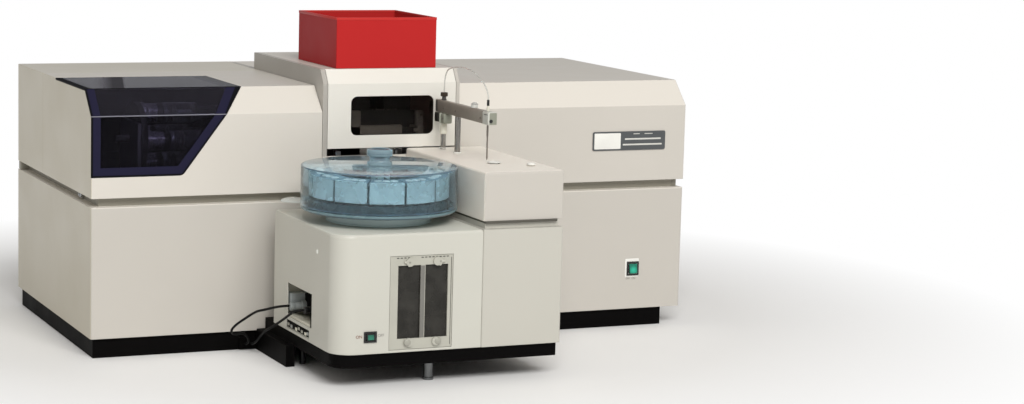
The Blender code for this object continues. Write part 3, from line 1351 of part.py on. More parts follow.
def make_tower():
    """The tower's lower housing with its set-back band, and the head that stands on it."""
    back = FRONT - TOWER_BACK
    lower = shell("tower_housing", (TOWER_LEFT, SAMPLER_FRONT, SAMPLER_BOTTOM),
                  (TOWER_RIGHT, back, SAMPLER_TOP), SAMPLER_SHEET, "cream_paint",
                  ring_sides=[(2, -1, BASE_INSET + FLANGE_LAP)], corners=front_corners,
                  corner_radius=HEAD_EDGE)
    band = block("tower_band", (TOWER_LEFT + BAND_INSET, SAMPLER_FRONT + BAND_INSET + HEAD_SETBACK / 2,
                                SAMPLER_TOP - BAND_SINK),
                 (TOWER_RIGHT - BAND_INSET / 2, back - BAND_INSET, BAND_TOP), None)
    join(lower, band)
    head = shell("tower_head", (HEAD_LEFT, HEAD_FRONT, HEAD_BOTTOM), (HEAD_RIGHT, back, HEAD_TOP),
                 SAMPLER_SHEET, "warm_white_paint",
                 ring_sides=[(2, -1, BAND_INSET + FLANGE_LAP)], edges=top_edges,
                 edge_radius=HEAD_EDGE)
    port = turned("port_rim", [(0, PORT_HEIGHT), (PORT_RADIUS, PORT_HEIGHT),
                               (PORT_RADIUS, -PORT_SINK), (0, -PORT_SINK)],
                  None, (LEFT + PORT_X, FRONT - PORT_Y, HEAD_TOP), steps=24)
    join(head, port)
    column_hole = cylinder("column_hole", COLUMN_RADIUS + COLUMN_GAP,
                           (LEFT + COLUMN_X, FRONT - COLUMN_Y, HEAD_TOP - OVERRUN - SAMPLER_SHEET),
                           2 * OVERRUN + SAMPLER_SHEET, None, segments=24)
    cut(head, column_hole)
    wash_hole = cylinder("wash_hole", WASH_RADIUS + TOUCH,
                         (LEFT + WASH_X, FRONT - WASH_Y, HEAD_TOP - OVERRUN - SAMPLER_SHEET),
                         2 * OVERRUN + SAMPLER_SHEET, None, segments=24)
    cut(head, wash_hole)
    return lower, head


def make_wash_cup():
    rim = WASH_FLANGE
    inner = WASH_RADIUS - WASH_WALL
    profile = [
        (WASH_FLANGE_RADIUS, rim),
        (WASH_FLANGE_RADIUS, 0),
        (WASH_RADIUS, 0),
        (WASH_RADIUS, -WASH_DEPTH),
        (0, -WASH_DEPTH),
    ]
    inside = [(0, WASH_WALL - WASH_DEPTH), (inner, WASH_WALL - WASH_DEPTH), (inner, rim)]
    return turned("wash_cup", inside + profile, "white_plastic",
                  (LEFT + WASH_X, FRONT - WASH_Y, HEAD_TOP + TOUCH), steps=24)


def make_carousel_base(centre_x, centre_y):
    """The foot and dish that stay still, with the spindle and the tab at the back left."""
    foot = CAROUSEL_FOOT_BOTTOM
    profile = [
        (0, DISH_TOP - foot + SPINDLE_HEIGHT),
        (SPINDLE_RADIUS, DISH_TOP - foot + SPINDLE_HEIGHT),
        (SPINDLE_RADIUS, DISH_TOP - foot),
        (CAROUSEL_RADIUS - DISH_RIM, DISH_TOP - foot),
        (CAROUSEL_RADIUS - DISH_RIM, DISH_RIM_TOP - foot),
        (CAROUSEL_RADIUS, DISH_RIM_TOP - foot),
        (CAROUSEL_RADIUS, DISH_BOTTOM - foot + DISH_THICKNESS / 2),
        (CAROUSEL_RADIUS - DISH_THICKNESS, DISH_BOTTOM - foot),
        (CAROUSEL_FOOT_RADIUS, CAROUSEL_FOOT_HEIGHT - DISH_THICKNESS),
        (CAROUSEL_FOOT_RADIUS, 0),
        (0, 0),
    ]
    base = turned("carousel_base", profile, "white_plastic", (centre_x, centre_y, foot), steps=48)
    angle = math.radians(TAB_DIRECTION)
    start = CAROUSEL_RADIUS - DISH_RIM / 2
    end = CAROUSEL_RADIUS + TAB_REACH
    middle = (start + end) / 2
    half = TAB_WIDTH / 2
    points = rounded_rectangle(start - middle, end - middle, -half, half, half / 2, 4)
    tab = outline("dish_tab", points, TAB_THICKNESS, None,
                  (centre_x + middle * math.cos(angle), centre_y + middle * math.sin(angle),
                   DISH_TOP - TAB_THICKNESS / 2 - TOUCH), (0, 0, angle))
    return join(base, tab)


def make_tray(centre_x, centre_y):
    """The sample tray: a disc on its hub, with sector walls and three cups in each sector."""
    tray = turned("sample_tray",
                  [(TRAY_HUB_RADIUS, TRAY_HUB_HEIGHT), (TRAY_HUB_RADIUS, TRAY_THICKNESS),
                   (TRAY_RADIUS, TRAY_THICKNESS), (TRAY_RADIUS, 0), (SPINDLE_RADIUS + TOUCH, 0),
                   (SPINDLE_RADIUS + TOUCH, TRAY_HUB_HEIGHT)],
                  "blue_clear", (centre_x, centre_y, TRAY_BOTTOM), steps=48, ring=True)
    walls = bmesh.new()
    cups = bmesh.new()
    wall_start = TRAY_HUB_RADIUS - RIB_THICKNESS
    wall_length = TRAY_RADIUS - RIB_THICKNESS - wall_start
    for rib in range(RIB_COUNT):
        angle = 2 * math.pi * rib / RIB_COUNT
        add_tray_wall(walls, angle, wall_start, wall_length)
        for cup in range(CUPS_PER_SECTOR):
            share = (cup + 1) / (CUPS_PER_SECTOR + 1)
            add_tray_cup(cups, angle + 2 * math.pi / RIB_COUNT * share)
    place = (centre_x, centre_y, TRAY_TOP)
    join(tray, add("tray_walls", mesh_from(walls, "tray_walls"), None, place))
    join(tray, add("tray_cups", mesh_from(cups, "tray_cups"), None, place))
    return tray


def add_tray_wall(bm, angle, start, length):
    made = bmesh.ops.create_cube(bm, size=1.0)["verts"]
    bmesh.ops.scale(bm, vec=(length, RIB_THICKNESS, RIB_HEIGHT), verts=made)
    bmesh.ops.translate(bm, vec=(start + length / 2, 0, RIB_HEIGHT / 2 - TRAY_THICKNESS / 2),
                        verts=made)
    turn_about_z(bm, made, angle)


def add_tray_cup(bm, angle):
    made = bmesh.ops.create_cone(bm, cap_ends=True, segments=10, radius1=CUP_RADIUS,
                                 radius2=CUP_RADIUS, depth=CUP_HEIGHT)["verts"]
    bmesh.ops.translate(bm, vec=(CUP_CIRCLE, 0, CUP_HEIGHT / 2 - TRAY_THICKNESS / 2), verts=made)
    turn_about_z(bm, made, angle)


def turn_about_z(bm, verts, angle):
    cosine = math.cos(angle)
    sine = math.sin(angle)
    for vert in verts:
        across, along = vert.co.x, vert.co.y
        vert.co.x = across * cosine - along * sine
        vert.co.y = across * sine + along * cosine


def make_drum(centre_x, centre_y):
    """The clear cover over the carousel, and the knob that lifts it."""
    outer = CAROUSEL_RADIUS
    inner = outer - COVER_WALL
    under = COVER_HEIGHT - COVER_WALL
    profile = [
        (0, COVER_HEIGHT),
        (outer - COVER_EDGE, COVER_HEIGHT),
        (outer - COVER_EDGE / 4, COVER_HEIGHT - COVER_EDGE / 4),
        (outer, COVER_HEIGHT - COVER_EDGE),
        (outer, 0),
        (inner, 0),
        (inner, under),
        (0, under),
    ]
    drum = turned("carousel_cover", profile, "blue_clear", (centre_x, centre_y, DRUM_BOTTOM),
                  steps=56)
    neck_top = KNOB_FOOT_HEIGHT + KNOB_NECK_HEIGHT
    top = neck_top + KNOB_HEAD_HEIGHT
    edge = KNOB_HEAD_HEIGHT / 4
    knob_profile = [
        (0, top),
        (KNOB_RADIUS - edge, top),
        (KNOB_RADIUS, top - edge),
        (KNOB_RADIUS, neck_top),
        (KNOB_NECK_RADIUS, neck_top),
        (KNOB_NECK_RADIUS, KNOB_FOOT_HEIGHT),
        (KNOB_FOOT_RADIUS, KNOB_FOOT_HEIGHT),
        (KNOB_FOOT_RADIUS, 0),
        (0, 0),
    ]
    knob = turned("cover_knob", knob_profile, "blue_clear", (centre_x, centre_y, DRUM_TOP + TOUCH))
    return drum, knob


def make_column():
    """The lift column with its collar, and the chrome post on which the arm is parked."""
    across = LEFT + COLUMN_X
    depth = FRONT - COLUMN_Y
    top = ARM_BOTTOM - RUNNING_GAP
    column = cylinder("lift_column", COLUMN_RADIUS, (across, depth, top - COLUMN_LENGTH),
                      COLUMN_LENGTH, "polished_steel", segments=24)
    bore = COLUMN_RADIUS + COLUMN_GAP
    collar = turned("column_collar", [(COLLAR_RADIUS, COLLAR_HEIGHT), (COLLAR_RADIUS, 0), (bore, 0),
                                      (bore, COLLAR_HEIGHT)],
                    "cream_plastic", (across, depth, COLLAR_BOTTOM), steps=24, ring=True)
    height = ARM_BOTTOM - TOUCH - HEAD_TOP - TOUCH
    post = turned("park_post", [(0, height), (POST_RADIUS, height), (POST_RADIUS, POST_FLANGE),
                                (POST_FLANGE_RADIUS, POST_FLANGE), (POST_FLANGE_RADIUS, 0), (0, 0)],
                  "polished_steel", (across, FRONT - POST_Y, HEAD_TOP + TOUCH), steps=24)
    return column, collar, post


def make_arm():
    """The swinging arm with its clamp, needle clip and needle, all turning about the column."""
    across = LEFT + COLUMN_X
    half = ARM_WIDTH / 2
    arm = block("sampler_arm", (across - half, ARM_FRONT, ARM_BOTTOM),
                (across + half, FRONT - ARM_BACK, ARM_TOP), "arm_grey", edge=ARM_EDGE, segments=1)
    clamp_top = ARM_BOTTOM - TOUCH
    clamp_bottom = clamp_top - CLAMP_HEIGHT
    half = CLAMP_WIDTH / 2
    clamp = block("arm_clamp", (across - half, FRONT - CLAMP_FRONT, clamp_bottom),
                  (across + half, FRONT - CLAMP_BACK, clamp_top), "white_plastic", edge=CLAMP_EDGE)
    tail_half = CLAMP_TAIL_WIDTH / 2
    tail = block("clamp_tail", (across - tail_half, FRONT - CLAMP_BACK - CLAMP_EDGE,
                                clamp_top - CLAMP_TAIL_HEIGHT),
                 (across + tail_half, FRONT - CLAMP_TAIL, clamp_top - CLAMP_EDGE / 2), None)
    join(clamp, tail)
    bore = cylinder("clamp_bore", COLUMN_RADIUS + COLUMN_GAP,
                    (across, FRONT - COLUMN_Y, clamp_bottom - OVERRUN), CLAMP_HEIGHT + 2 * OVERRUN,
                    None, segments=24)
    cut(clamp, bore)
    half = CLIP_WIDTH / 2
    clip = block("needle_clip", (across - half, ARM_FRONT - TOUCH - CLIP_DEPTH, CLIP_BOTTOM),
                 (across + half, ARM_FRONT - TOUCH, CLIP_TOP), "white_plastic",
                 edge=CLIP_EDGE)
    hole = cylinder("needle_hole", NEEDLE_HOLE, (across, NEEDLE_Y, CLIP_BOTTOM - OVERRUN),
                    CLIP_HEIGHT + 2 * OVERRUN, None, segments=16)
    cut(clip, hole)
    top = NEEDLE_TOP - NEEDLE_BOTTOM
    seat = CLIP_TOP + TOUCH - NEEDLE_BOTTOM
    needle = turned("sample_needle",
                    [(0, top), (FERRULE_RADIUS, top), (FERRULE_RADIUS, seat), (NEEDLE_RADIUS, seat),
                     (NEEDLE_RADIUS, NEEDLE_TIP_LENGTH), (NEEDLE_TIP_RADIUS, 0), (0, 0)],
                    "polished_steel", (across, NEEDLE_Y, NEEDLE_BOTTOM), steps=12)
    return arm, clamp, clip, needle


def make_nuts():
    across = LEFT + COLUMN_X
    nut_base = ARM_TOP + TOUCH
    thumb_top = THUMB_NECK_HEIGHT + THUMB_NUT_HEIGHT
    thumb = turned("thumb_nut",
                   [(0, thumb_top), (THUMB_NUT_RADIUS, thumb_top),
                    (THUMB_NUT_RADIUS, THUMB_NECK_HEIGHT), (THUMB_NECK_RADIUS, THUMB_NECK_HEIGHT),
                    (THUMB_NECK_RADIUS, 0), (0, 0)],
                   "zinc_steel", (across, FRONT - COLUMN_Y, nut_base), steps=24)
    clear = turned("needle_height_nut",
                   [(0, CLEAR_NUT_HEIGHT), (CLEAR_NUT_RADIUS, CLEAR_NUT_HEIGHT),
                    (CLEAR_NUT_RADIUS, 0), (0, 0)],
                   "white_plastic", (across, FRONT - CLEAR_NUT_Y, nut_base), steps=24)
    return thumb, clear


# Routes of the cords, each as (across from the cabinet's left side, out from its front, height)
CABLE_1_ROUTE = [
    (0.2800, 0.1120, 0.0920), (0.2690, 0.0970, 0.0870), (0.2568, 0.0850, 0.0815),
    (0.2442, 0.0650, 0.0669), (0.2336, 0.0520, 0.0547), (0.2288, 0.0430, 0.0439),
    (0.2362, 0.0340, 0.0358), (0.2561, 0.0280, 0.0336), (0.2665, 0.0200, 0.0232),
]
CABLE_2_ROUTE = [
    (0.2890, 0.1820, 0.0970), (0.2900, 0.1650, 0.0908), (0.2864, 0.1300, 0.0738),
    (0.2791, 0.1000, 0.0570), (0.2757, 0.0750, 0.0452), (0.2725, 0.0400, 0.0241),
]
CAPILLARY_ROUTE = [
    (0.6105, 0.2114, 0.4542), (0.6105, 0.2058, 0.4599), (0.6105, 0.1985, 0.4655),
    (0.6105, 0.1901, 0.4699), (0.6105, 0.1500, 0.4830), (0.6105, 0.1000, 0.4850),
    (0.6105, 0.0500, 0.4780), (0.6105, 0.0340, 0.4640),
]


def place_route(route, start, leave, end, arrive, lead):
    """A cord's points: straight out of each end for one lead, and along its route between."""
    middle = [Vector((LEFT + across, FRONT - out, height)) for across, out, height in route]
    start = Vector(start)
    end = Vector(end)
    return [start, start + Vector(leave) * lead, *middle, end + Vector(arrive) * lead, end]


def make_cords():
    """The two signal cables and the sample capillary over the arm."""
    gland_x = SAMPLER_LEFT + GLAND_SET_BACK - TOUCH
    port_y = FRONT + PLINTH_INSET_FRONT - CABLE_PORT_PROUD - TOUCH
    cables = ((CABLE_1_ROUTE, CABLE_GLANDS[0], -CABLE_PORT_SPREAD),
              (CABLE_2_ROUTE, CABLE_GLANDS[1], CABLE_PORT_SPREAD))
    for index, (route, (out, height), shift) in enumerate(cables):
        points = place_route(route, (gland_x, FRONT - out, height), (-1, 0, 0),
                             (LEFT + CABLE_PORT_X + shift, port_y, CABLE_PORT_Z), (0, -1, 0),
                             CABLE_LEAD)
        tube("signal_cable_%d" % (index + 1), smooth_route(points, CABLE_POINT_SPACING),
             CABLE_RADIUS, "cable_rubber")
    points = place_route(CAPILLARY_ROUTE, (LEFT + COLUMN_X, NEEDLE_Y, NEEDLE_TOP + TOUCH), (0, 0, 1),
                         (LEFT + COLUMN_X, FRONT - COLUMN_Y, THUMB_NUT_TOP + TOUCH), (0, 0, 1),
                         CAPILLARY_LEAD)
    return tube("sample_capillary", smooth_route(points, CAPILLARY_POINT_SPACING),
                CAPILLARY_RADIUS, "clear_tube")


def build():
    light = light_path("light_path")

    make_plinth()
    main_hole = make_switch("power_switch", LEFT + MAIN_SWITCH_X, MAIN_SWITCH_Z, FRONT,
                            MAIN_SWITCH_WIDTH, MAIN_SWITCH_HEIGHT)
    make_lower_body([main_hole])
    make_mains_inlet(make_rear_panel())
    make_power_supply()
    make_deck()

    make_lamp_housing(light)
    make_lamp_lid()
    make_rear_cover()
    make_turret()

    make_centre_frame(light)
    make_centre_top()
    make_chimney()
    make_furnace_cover()
    make_furnace()

    make_mono_housing(light)
    make_monochromator()
    make_nameplate()

    make_support_frame()
    make_leg("front_leg", FRONT_LEG_X, FRONT_LEG_Y, FRONT_LEG_RADIUS)
    make_leg("left_leg", LEFT_LEG_X, LEFT_LEG_Y, LEFT_LEG_RADIUS)
    sampler_hole = make_switch("sampler_switch", LEFT + SAMPLER_SWITCH_X, SAMPLER_SWITCH_Z,
                               SAMPLER_FRONT, SAMPLER_SWITCH_WIDTH, SAMPLER_SWITCH_HEIGHT)
    make_platform(sampler_hole)
    make_bay()
    make_socket_panel()
    make_tower()
    make_wash_cup()

    centre_x = LEFT + CAROUSEL_X
    centre_y = FRONT - CAROUSEL_Y
    make_carousel_base(centre_x, centre_y)
    make_tray(centre_x, centre_y)
    drum, knob = make_drum(centre_x, centre_y)
    carry(pivot("drum_lift_axis", (centre_x, centre_y, DRUM_BOTTOM)), drum, knob)

    column, collar, _ = make_column()
    arm_pieces = make_arm()
    thumb, clear = make_nuts()
    capillary = make_cords()
    swing = pivot("arm_swing_axis", (LEFT + COLUMN_X, FRONT - COLUMN_Y, ARM_BOTTOM))
    carry(swing, *arm_pieces, thumb, clear, capillary)
    carry(pivot("lift_axis", (LEFT + COLUMN_X, FRONT - COLUMN_Y, HEAD_TOP)), column, collar)


build()
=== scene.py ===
import json
import math
from functools import partialmethod

import bmesh
import bpy
from mathutils import Matrix, Vector


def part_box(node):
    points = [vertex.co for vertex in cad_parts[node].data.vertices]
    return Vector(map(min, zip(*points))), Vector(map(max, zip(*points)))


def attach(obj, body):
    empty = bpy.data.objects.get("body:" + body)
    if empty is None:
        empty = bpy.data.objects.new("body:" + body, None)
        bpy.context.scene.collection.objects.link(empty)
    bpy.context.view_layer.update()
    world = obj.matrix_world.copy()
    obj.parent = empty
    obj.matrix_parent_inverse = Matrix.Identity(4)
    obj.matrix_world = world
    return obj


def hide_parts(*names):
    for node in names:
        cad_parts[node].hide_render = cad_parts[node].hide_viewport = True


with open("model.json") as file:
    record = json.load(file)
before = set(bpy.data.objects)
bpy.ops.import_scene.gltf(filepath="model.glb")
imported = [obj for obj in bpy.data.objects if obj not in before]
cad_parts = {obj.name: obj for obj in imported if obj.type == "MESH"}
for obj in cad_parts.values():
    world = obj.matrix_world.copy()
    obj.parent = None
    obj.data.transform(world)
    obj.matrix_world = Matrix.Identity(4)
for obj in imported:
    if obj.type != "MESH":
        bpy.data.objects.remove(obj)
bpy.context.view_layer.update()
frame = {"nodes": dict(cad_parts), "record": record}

NODES = frame["nodes"]
ROOT = "spectrometer"
MM = 0.001
FULL_TURN = 2 * math.pi


def span(name):
    """A node's lowest and highest corners, in millimetres."""
    return [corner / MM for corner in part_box(name)]


def middle_of(name):
    low, high = span(name)
    return (low + high) / 2


# Planes, axes and directions that many pieces share, in millimetres
LEFT, FRONT, _ = span("lower_body")[0]
BACK = span("lower_body")[1].y
COLUMN = middle_of("lift_column")
DRUM = middle_of("carousel_cover")
NEEDLE = middle_of("sample_needle")
UP, RIGHT, OUTWARD = Vector((0, 0, 1)), Vector((1, 0, 0)), Vector((0, -1, 0))


def at(across, out, height):
    """A point from the cabinet's left side, out from its front, and up from the bench."""
    return Vector((LEFT + across, FRONT - out, height))


def above(place, height):
    """The point over or under a place at a height."""
    return Vector((place.x, place.y, height))


# Camera, solved on the photograph

def make_camera():
    eye = at(-1002.1, 3807.8, 829.9) * MM
    yaw, pitch, roll = (math.radians(a) for a in (24.046, 7.569, 1.452))
    forward = Vector((math.sin(yaw) * math.cos(pitch), math.cos(yaw) * math.cos(pitch),
        -math.sin(pitch)))
    side = Vector((math.cos(yaw), -math.sin(yaw), 0))
    upward = side.cross(forward)
    right = math.cos(roll) * side + math.sin(roll) * upward
    up = math.cos(roll) * upward - math.sin(roll) * side
    data = bpy.data.cameras.new("camera")
    data.sensor_width = 36
    data.lens = 84.4
    data.shift_x = 0.0304
    data.shift_y = -0.0206
    data.clip_start = 0.05
    data.clip_end = 60
    camera = bpy.data.objects.new("camera", data)
    bpy.context.scene.collection.objects.link(camera)
    turn = Matrix((right, up, -forward)).transposed().to_4x4()
    camera.matrix_world = Matrix.Translation(eye) @ turn
    bpy.context.scene.camera = camera


make_camera()


# Materials

def feed(owner, socket, value):
    """Links a socket to a field or another socket, or gives it a constant."""
    value = getattr(value, "socket", value)
    if isinstance(value, bpy.types.NodeSocket):
        owner.node_tree.links.new(value, socket)
    else:
        socket.default_value = value


def node(owner, kind, inputs=None, **settings):
    made = owner.node_tree.nodes.new("ShaderNode" + kind)
    for key, value in settings.items():
        setattr(made, key, value)
    for key, value in (inputs or {}).items():
        feed(owner, made.inputs[key], value)
    return made


class Field:
    """A number that a material's nodes work out at each point; a comparison gives 1 or 0."""

    def __init__(self, mat, socket):
        self.mat, self.socket = mat, socket

    def apply(self, operation, other=0.0, swapped=False):
        values = (other, self) if swapped else (self, other)
        made = node(self.mat, "Math", dict(enumerate(values)), operation=operation)
        return Field(self.mat, made.outputs[0])

    __add__ = partialmethod(apply, "ADD")
    __sub__ = partialmethod(apply, "SUBTRACT")
    __rsub__ = partialmethod(apply, "SUBTRACT", swapped=True)
    __mul__ = __and__ = partialmethod(apply, "MULTIPLY")
    __or__ = partialmethod(apply, "MAXIMUM")
    __lt__ = partialmethod(apply, "LESS_THAN")
    __gt__ = partialmethod(apply, "GREATER_THAN")
    __abs__ = partialmethod(apply, "ABSOLUTE")
    least = partialmethod(apply, "MINIMUM")


def material(name, colour, roughness=0.4, metallic=0.0, **sockets):
    made = bpy.data.materials.new(name)
    made.use_nodes = True
    made.diffuse_color = (*colour, 1)
    inputs = made.node_tree.nodes["Principled BSDF"].inputs
    sockets.update(Base_Color=(*colour, 1), Roughness=roughness, Metallic=metallic)
    for socket, value in sockets.items():
        inputs[socket.replace("_", " ")].default_value = value
    return made


def to_shader(mat, socket, value):
    feed(mat, mat.node_tree.nodes["Principled BSDF"].inputs[socket], value)


def coloured(mat, colour):
    """The material, with its colour taken from other nodes."""
    to_shader(mat, "Base Color", colour)
    return mat


def object_place(mat):
    return node(mat, "TexCoord").outputs["Object"]


def fields(mat):
    """The three coordinates of a surface's points, in metres."""
    made = node(mat, "SeparateXYZ", {"Vector": object_place(mat)})
    return [Field(mat, made.outputs[axis]) for axis in "XYZ"]


def noise(mat, scale, detail=3.0, stretch=None):
    place = object_place(mat)
    if stretch:
        place = node(mat, "Mapping", {"Vector": place, "Scale": stretch}).outputs["Vector"]
    return node(mat, "TexNoise", {"Vector": place, "Scale": scale, "Detail": detail}).outputs["Fac"]


def as_colour(value):
    """Four channels for a shade or a number; a node's output stays as it is."""
    if isinstance(value, (int, float)):
        value = (value, value, value)
    return (*value, 1) if isinstance(value, tuple) else value


def between(mat, factor, low, high, first=0.3, last=0.7):
    """A value or colour that runs from low to high as factor runs from first to last."""
    ramp = node(mat, "ValToRGB", {"Fac": factor})
    for element, place, value in zip(ramp.color_ramp.elements, (first, last), (low, high)):
        element.position = place
        element.color = as_colour(value)
    return ramp.outputs["Color"]


def mixed(mat, factor, first, second):
    """First where factor is 0 and second where it is 1, for colours or numbers."""
    inputs = {0: factor, 6: as_colour(first), 7: as_colour(second)}
    return node(mat, "Mix", inputs, data_type="RGBA").outputs[2]


def shade(colour, share):
    return tuple(channel * share for channel in colour)


def mottled(mat, colour, spread=0.02, scale=4.0):
    """Slow changes of shade over a surface."""
    return between(mat, noise(mat, scale), shade(colour, 1 - spread), shade(colour, 1 + spread))


def rough_between(mat, low, high, scale):
    to_shader(mat, "Roughness", between(mat, noise(mat, scale, 5.0), low, high))


def grain(mat, scale, strength, distance=0.0002, stretch=None):
    height = noise(mat, scale, 2.0, stretch)
    bump = node(mat, "Bump", {"Height": height, "Strength": strength, "Distance": distance})
    to_shader(mat, "Normal", bump.outputs["Normal"])


def paint(name, colour, low=0.36, high=0.46, strength=0.1, **sockets):
    """Powder-coated sheet: slow shade changes, fine orange peel and uneven gloss."""
    made = material(name, colour, **sockets)
    rough_between(made, low, high, 12.0)
    grain(made, 650.0, strength)
    return coloured(made, mottled(made, colour))


def metal(name, colour, low=0.18, high=0.34, stretch=(1, 1, 0.02), metallic=1.0):
    """Turned or drawn metal with fine marks along one direction."""
    made = material(name, colour, metallic=metallic)
    to_shader(made, "Roughness", between(made, noise(made, 700.0, 3.0, stretch), low, high))
    grain(made, 1800.0, 0.05, 0.0001, stretch)
    return coloured(made, mottled(made, colour, 0.06, 60.0))


def plastic(name, colour, low=0.3, high=0.42, strength=0.08, **sockets):
    """Moulded plastic with a faint grain."""
    made = material(name, colour, **sockets)
    rough_between(made, low, high, 60.0)
    grain(made, 900.0, strength, 0.0001)
    return coloured(made, mottled(made, colour, 0.04, 30.0))


def clear(name, colour, roughness=0.05, transmission=0.9, ior=1.47, spread=0.04, **sockets):
    """Clear tinted plastic with faint flow marks."""
    made = material(name, colour, roughness, Transmission_Weight=transmission, IOR=ior, **sockets)
    rough_between(made, roughness * 0.6, roughness * 1.6, 50.0)
    grain(made, 90.0, 0.05, 0.0003)
    return coloured(made, mottled(made, colour, spread, 35.0))


CREAM_COLOUR = (0.638, 0.606, 0.553)
# Colour of the painted shade on the cabinet's left side
SHADED_SIDE_COLOUR = (0.634, 0.59, 0.478)
DECK_LOW = Vector((LEFT + 16, FRONT + 16, 252.3))
DECK_HIGH = Vector((-LEFT - 16, BACK - 16, 266.7))
# Places on the cabinet in metres, as the materials see them
SIDE_X, FRONT_Y, BACK_Y = LEFT * MM, FRONT * MM, BACK * MM
UPPER_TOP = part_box("lamp_housing")[1].z
ROOF = UPPER_TOP - 0.0003
SKIN = 0.0008
CHAMFER = 0.042
LID_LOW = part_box("lamp_lid")[0]
LID_BORDER = 0.0155
LID_FOLD = 0.4024
LID_LEAN = Vector((0.0755, 0.1004)).normalized()
LID_CORNER_X = SIDE_X + 0.155


def smoked_lid():
    """Smoked acrylic with a bluish frame behind its edges and a painted highlight on its fold."""
    made = clear("smoked_acrylic", (0.2, 0.19, 0.25), 0.03, 1.0, 1.03)
    across, depth, height = fields(made)
    from_right = (LID_CORNER_X - across) * LID_LEAN.y - (LID_LOW.z - height) * LID_LEAN.x
    nearest = (across - SIDE_X).least((height - LID_LOW.z).least(from_right))
    border = (nearest < LID_BORDER) & (height < 0.4435)
    edge = border & (nearest < 0.003)
    # The pale line on the fold is a painted highlight.
    fold = abs(height - LID_FOLD) < 0.0006
    roof = height > UPPER_TOP - 0.001
    rim = ((across < SIDE_X + 0.009) | (depth < FRONT_Y + CHAMFER + 0.003)) & roof
    # A dark streak on the roof stands for what the lid mirrors in the photograph
    along = across - ((depth - (FRONT_Y + CHAMFER)) * 0.26 + SIDE_X)
    streak = ((along - 0.012) * 28.0).least((0.07 - along) * 200.0).least(1.0)
    streak = (streak | 0.0) * 0.85 & roof
    smoke = between(made, noise(made, 35.0), (0.2, 0.19, 0.24), (0.23, 0.22, 0.27))
    body = mixed(made, border, smoke, (0.019, 0.018, 0.04))
    for mask, tint in ((edge, (0.008, 0.008, 0.01)), (rim, (0.006, 0.006, 0.008)),
            (streak, (0.01, 0.01, 0.01)), (fold, (0.24, 0.24, 0.28))):
        body = mixed(made, mask, body, tint)
    # Less passes through the slope above the fold, so it shows lighter: a painted sheen.
    glass = mixed(made, height > LID_FOLD, 0.98, 0.94)
    solid = (border | rim) | (fold | streak)
    to_shader(made, "Transmission Weight", mixed(made, solid, glass, 0.0))
    finish = mixed(made, border, between(made, noise(made, 50.0), 0.02, 0.05), 0.16)
    to_shader(made, "Roughness", mixed(made, streak | rim, finish, 0.5))
    return coloured(made, body)


def shaded_left_side(mat, body, share):
    """Painted shade, darker and warmer, on the cabinet's left side; the given colour elsewhere."""
    return mixed(mat, fields(mat)[0] < SIDE_X + SKIN, body, shade(SHADED_SIDE_COLOUR, share))


def rear_paint():
    """Rear cover paint with painted shade on its roof and left side, as on the lamp housing."""
    made = paint("rear_cream", (0.56, 0.53, 0.462))
    roof = between(made, noise(made, 4.0), (0.555, 0.525, 0.458), (0.565, 0.535, 0.466))
    body = mixed(made, fields(made)[2] > ROOF, CREAM_COLOUR, roof)
    return coloured(made, shaded_left_side(made, body, 0.87))


def housing_paint(name, share, strip, roof):
    """Cabinet paint, with a painted highlight on the sloped strip and painted shade on the roof."""
    made = paint(name, CREAM_COLOUR)
    across, depth, height = fields(made)
    slope = (height > UPPER_TOP - CHAMFER) & (depth < FRONT_Y + CHAMFER + 0.0005) & (height < ROOF)
    slope = slope & (across > SIDE_X + SKIN) & (across < -SIDE_X - SKIN)
    body = mixed(made, height > ROOF, mottled(made, shade(CREAM_COLOUR, share)),
        shade(CREAM_COLOUR, roof))
    body = mixed(made, slope, body, shade(CREAM_COLOUR, strip))
    return coloured(made, shaded_left_side(made, body, 0.87))


def head_paint():
    """Sampler paint with painted shade on the head's front and a painted highlight elsewhere."""
    made = paint("head_paint", CREAM_COLOUR)
    body = between(made, noise(made, 4.0), shade(CREAM_COLOUR, 1.32), shade(CREAM_COLOUR, 1.38))
    face = fields(made)[1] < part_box("tower_head")[0].y + 0.0014
    return coloured(made, mixed(made, face, body, shade(CREAM_COLOUR, 0.8)))


def edge_lit_paint(name, colour, name_of_node, depth, lift):
    """Paint with a painted highlight on a node's top and along the edge below it."""
    made = paint(name, colour)
    top = fields(made)[2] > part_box(name_of_node)[1].z - depth
    body = mixed(made, top, mottled(made, colour), shade(colour, lift))
    return coloured(made, shaded_left_side(made, body, 0.845))


def deck_paint():
    """A darker deck above a sheet in the cabinet's colour, lightened by a painted highlight."""
    made = paint("deck_paint", (0.29, 0.272, 0.225), 0.45, 0.55)
    dark = between(made, noise(made, 4.0), (0.28, 0.265, 0.22), (0.3, 0.285, 0.235))
    slab = fields(made)[2] > DECK_LOW.z * MM - 0.0001
    return coloured(made, mixed(made, slab, shade(CREAM_COLOUR, 1.15), dark))


def cheek_paint():
    """Cabinet paint with painted shade on the cheeks, deepest on the left, plain below the slot."""
    made = paint("cheek_paint", CREAM_COLOUR)
    across, depth, height = fields(made)
    grey = mixed(made, across > 0.0, shade(CREAM_COLOUR, 0.64), shade(CREAM_COLOUR, 0.78))
    cheek = (height > 0.3265) & (depth < BACK_Y - 0.02)
    return coloured(made, mixed(made, cheek, mottled(made, CREAM_COLOUR), grey))


def chimney_paint():
    """Red enamel, with painted shade on the chimney's left side."""
    made = paint("red_enamel", (0.46, 0.021, 0.022), 0.34, 0.44, 0.06, Specular_IOR_Level=0.06)
    body = between(made, noise(made, 4.0), (0.452, 0.021, 0.021), (0.468, 0.023, 0.023))
    side = fields(made)[0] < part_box("fume_chimney")[0].x + 0.0005
    return coloured(made, mixed(made, side, body, (0.37, 0.012, 0.014)))


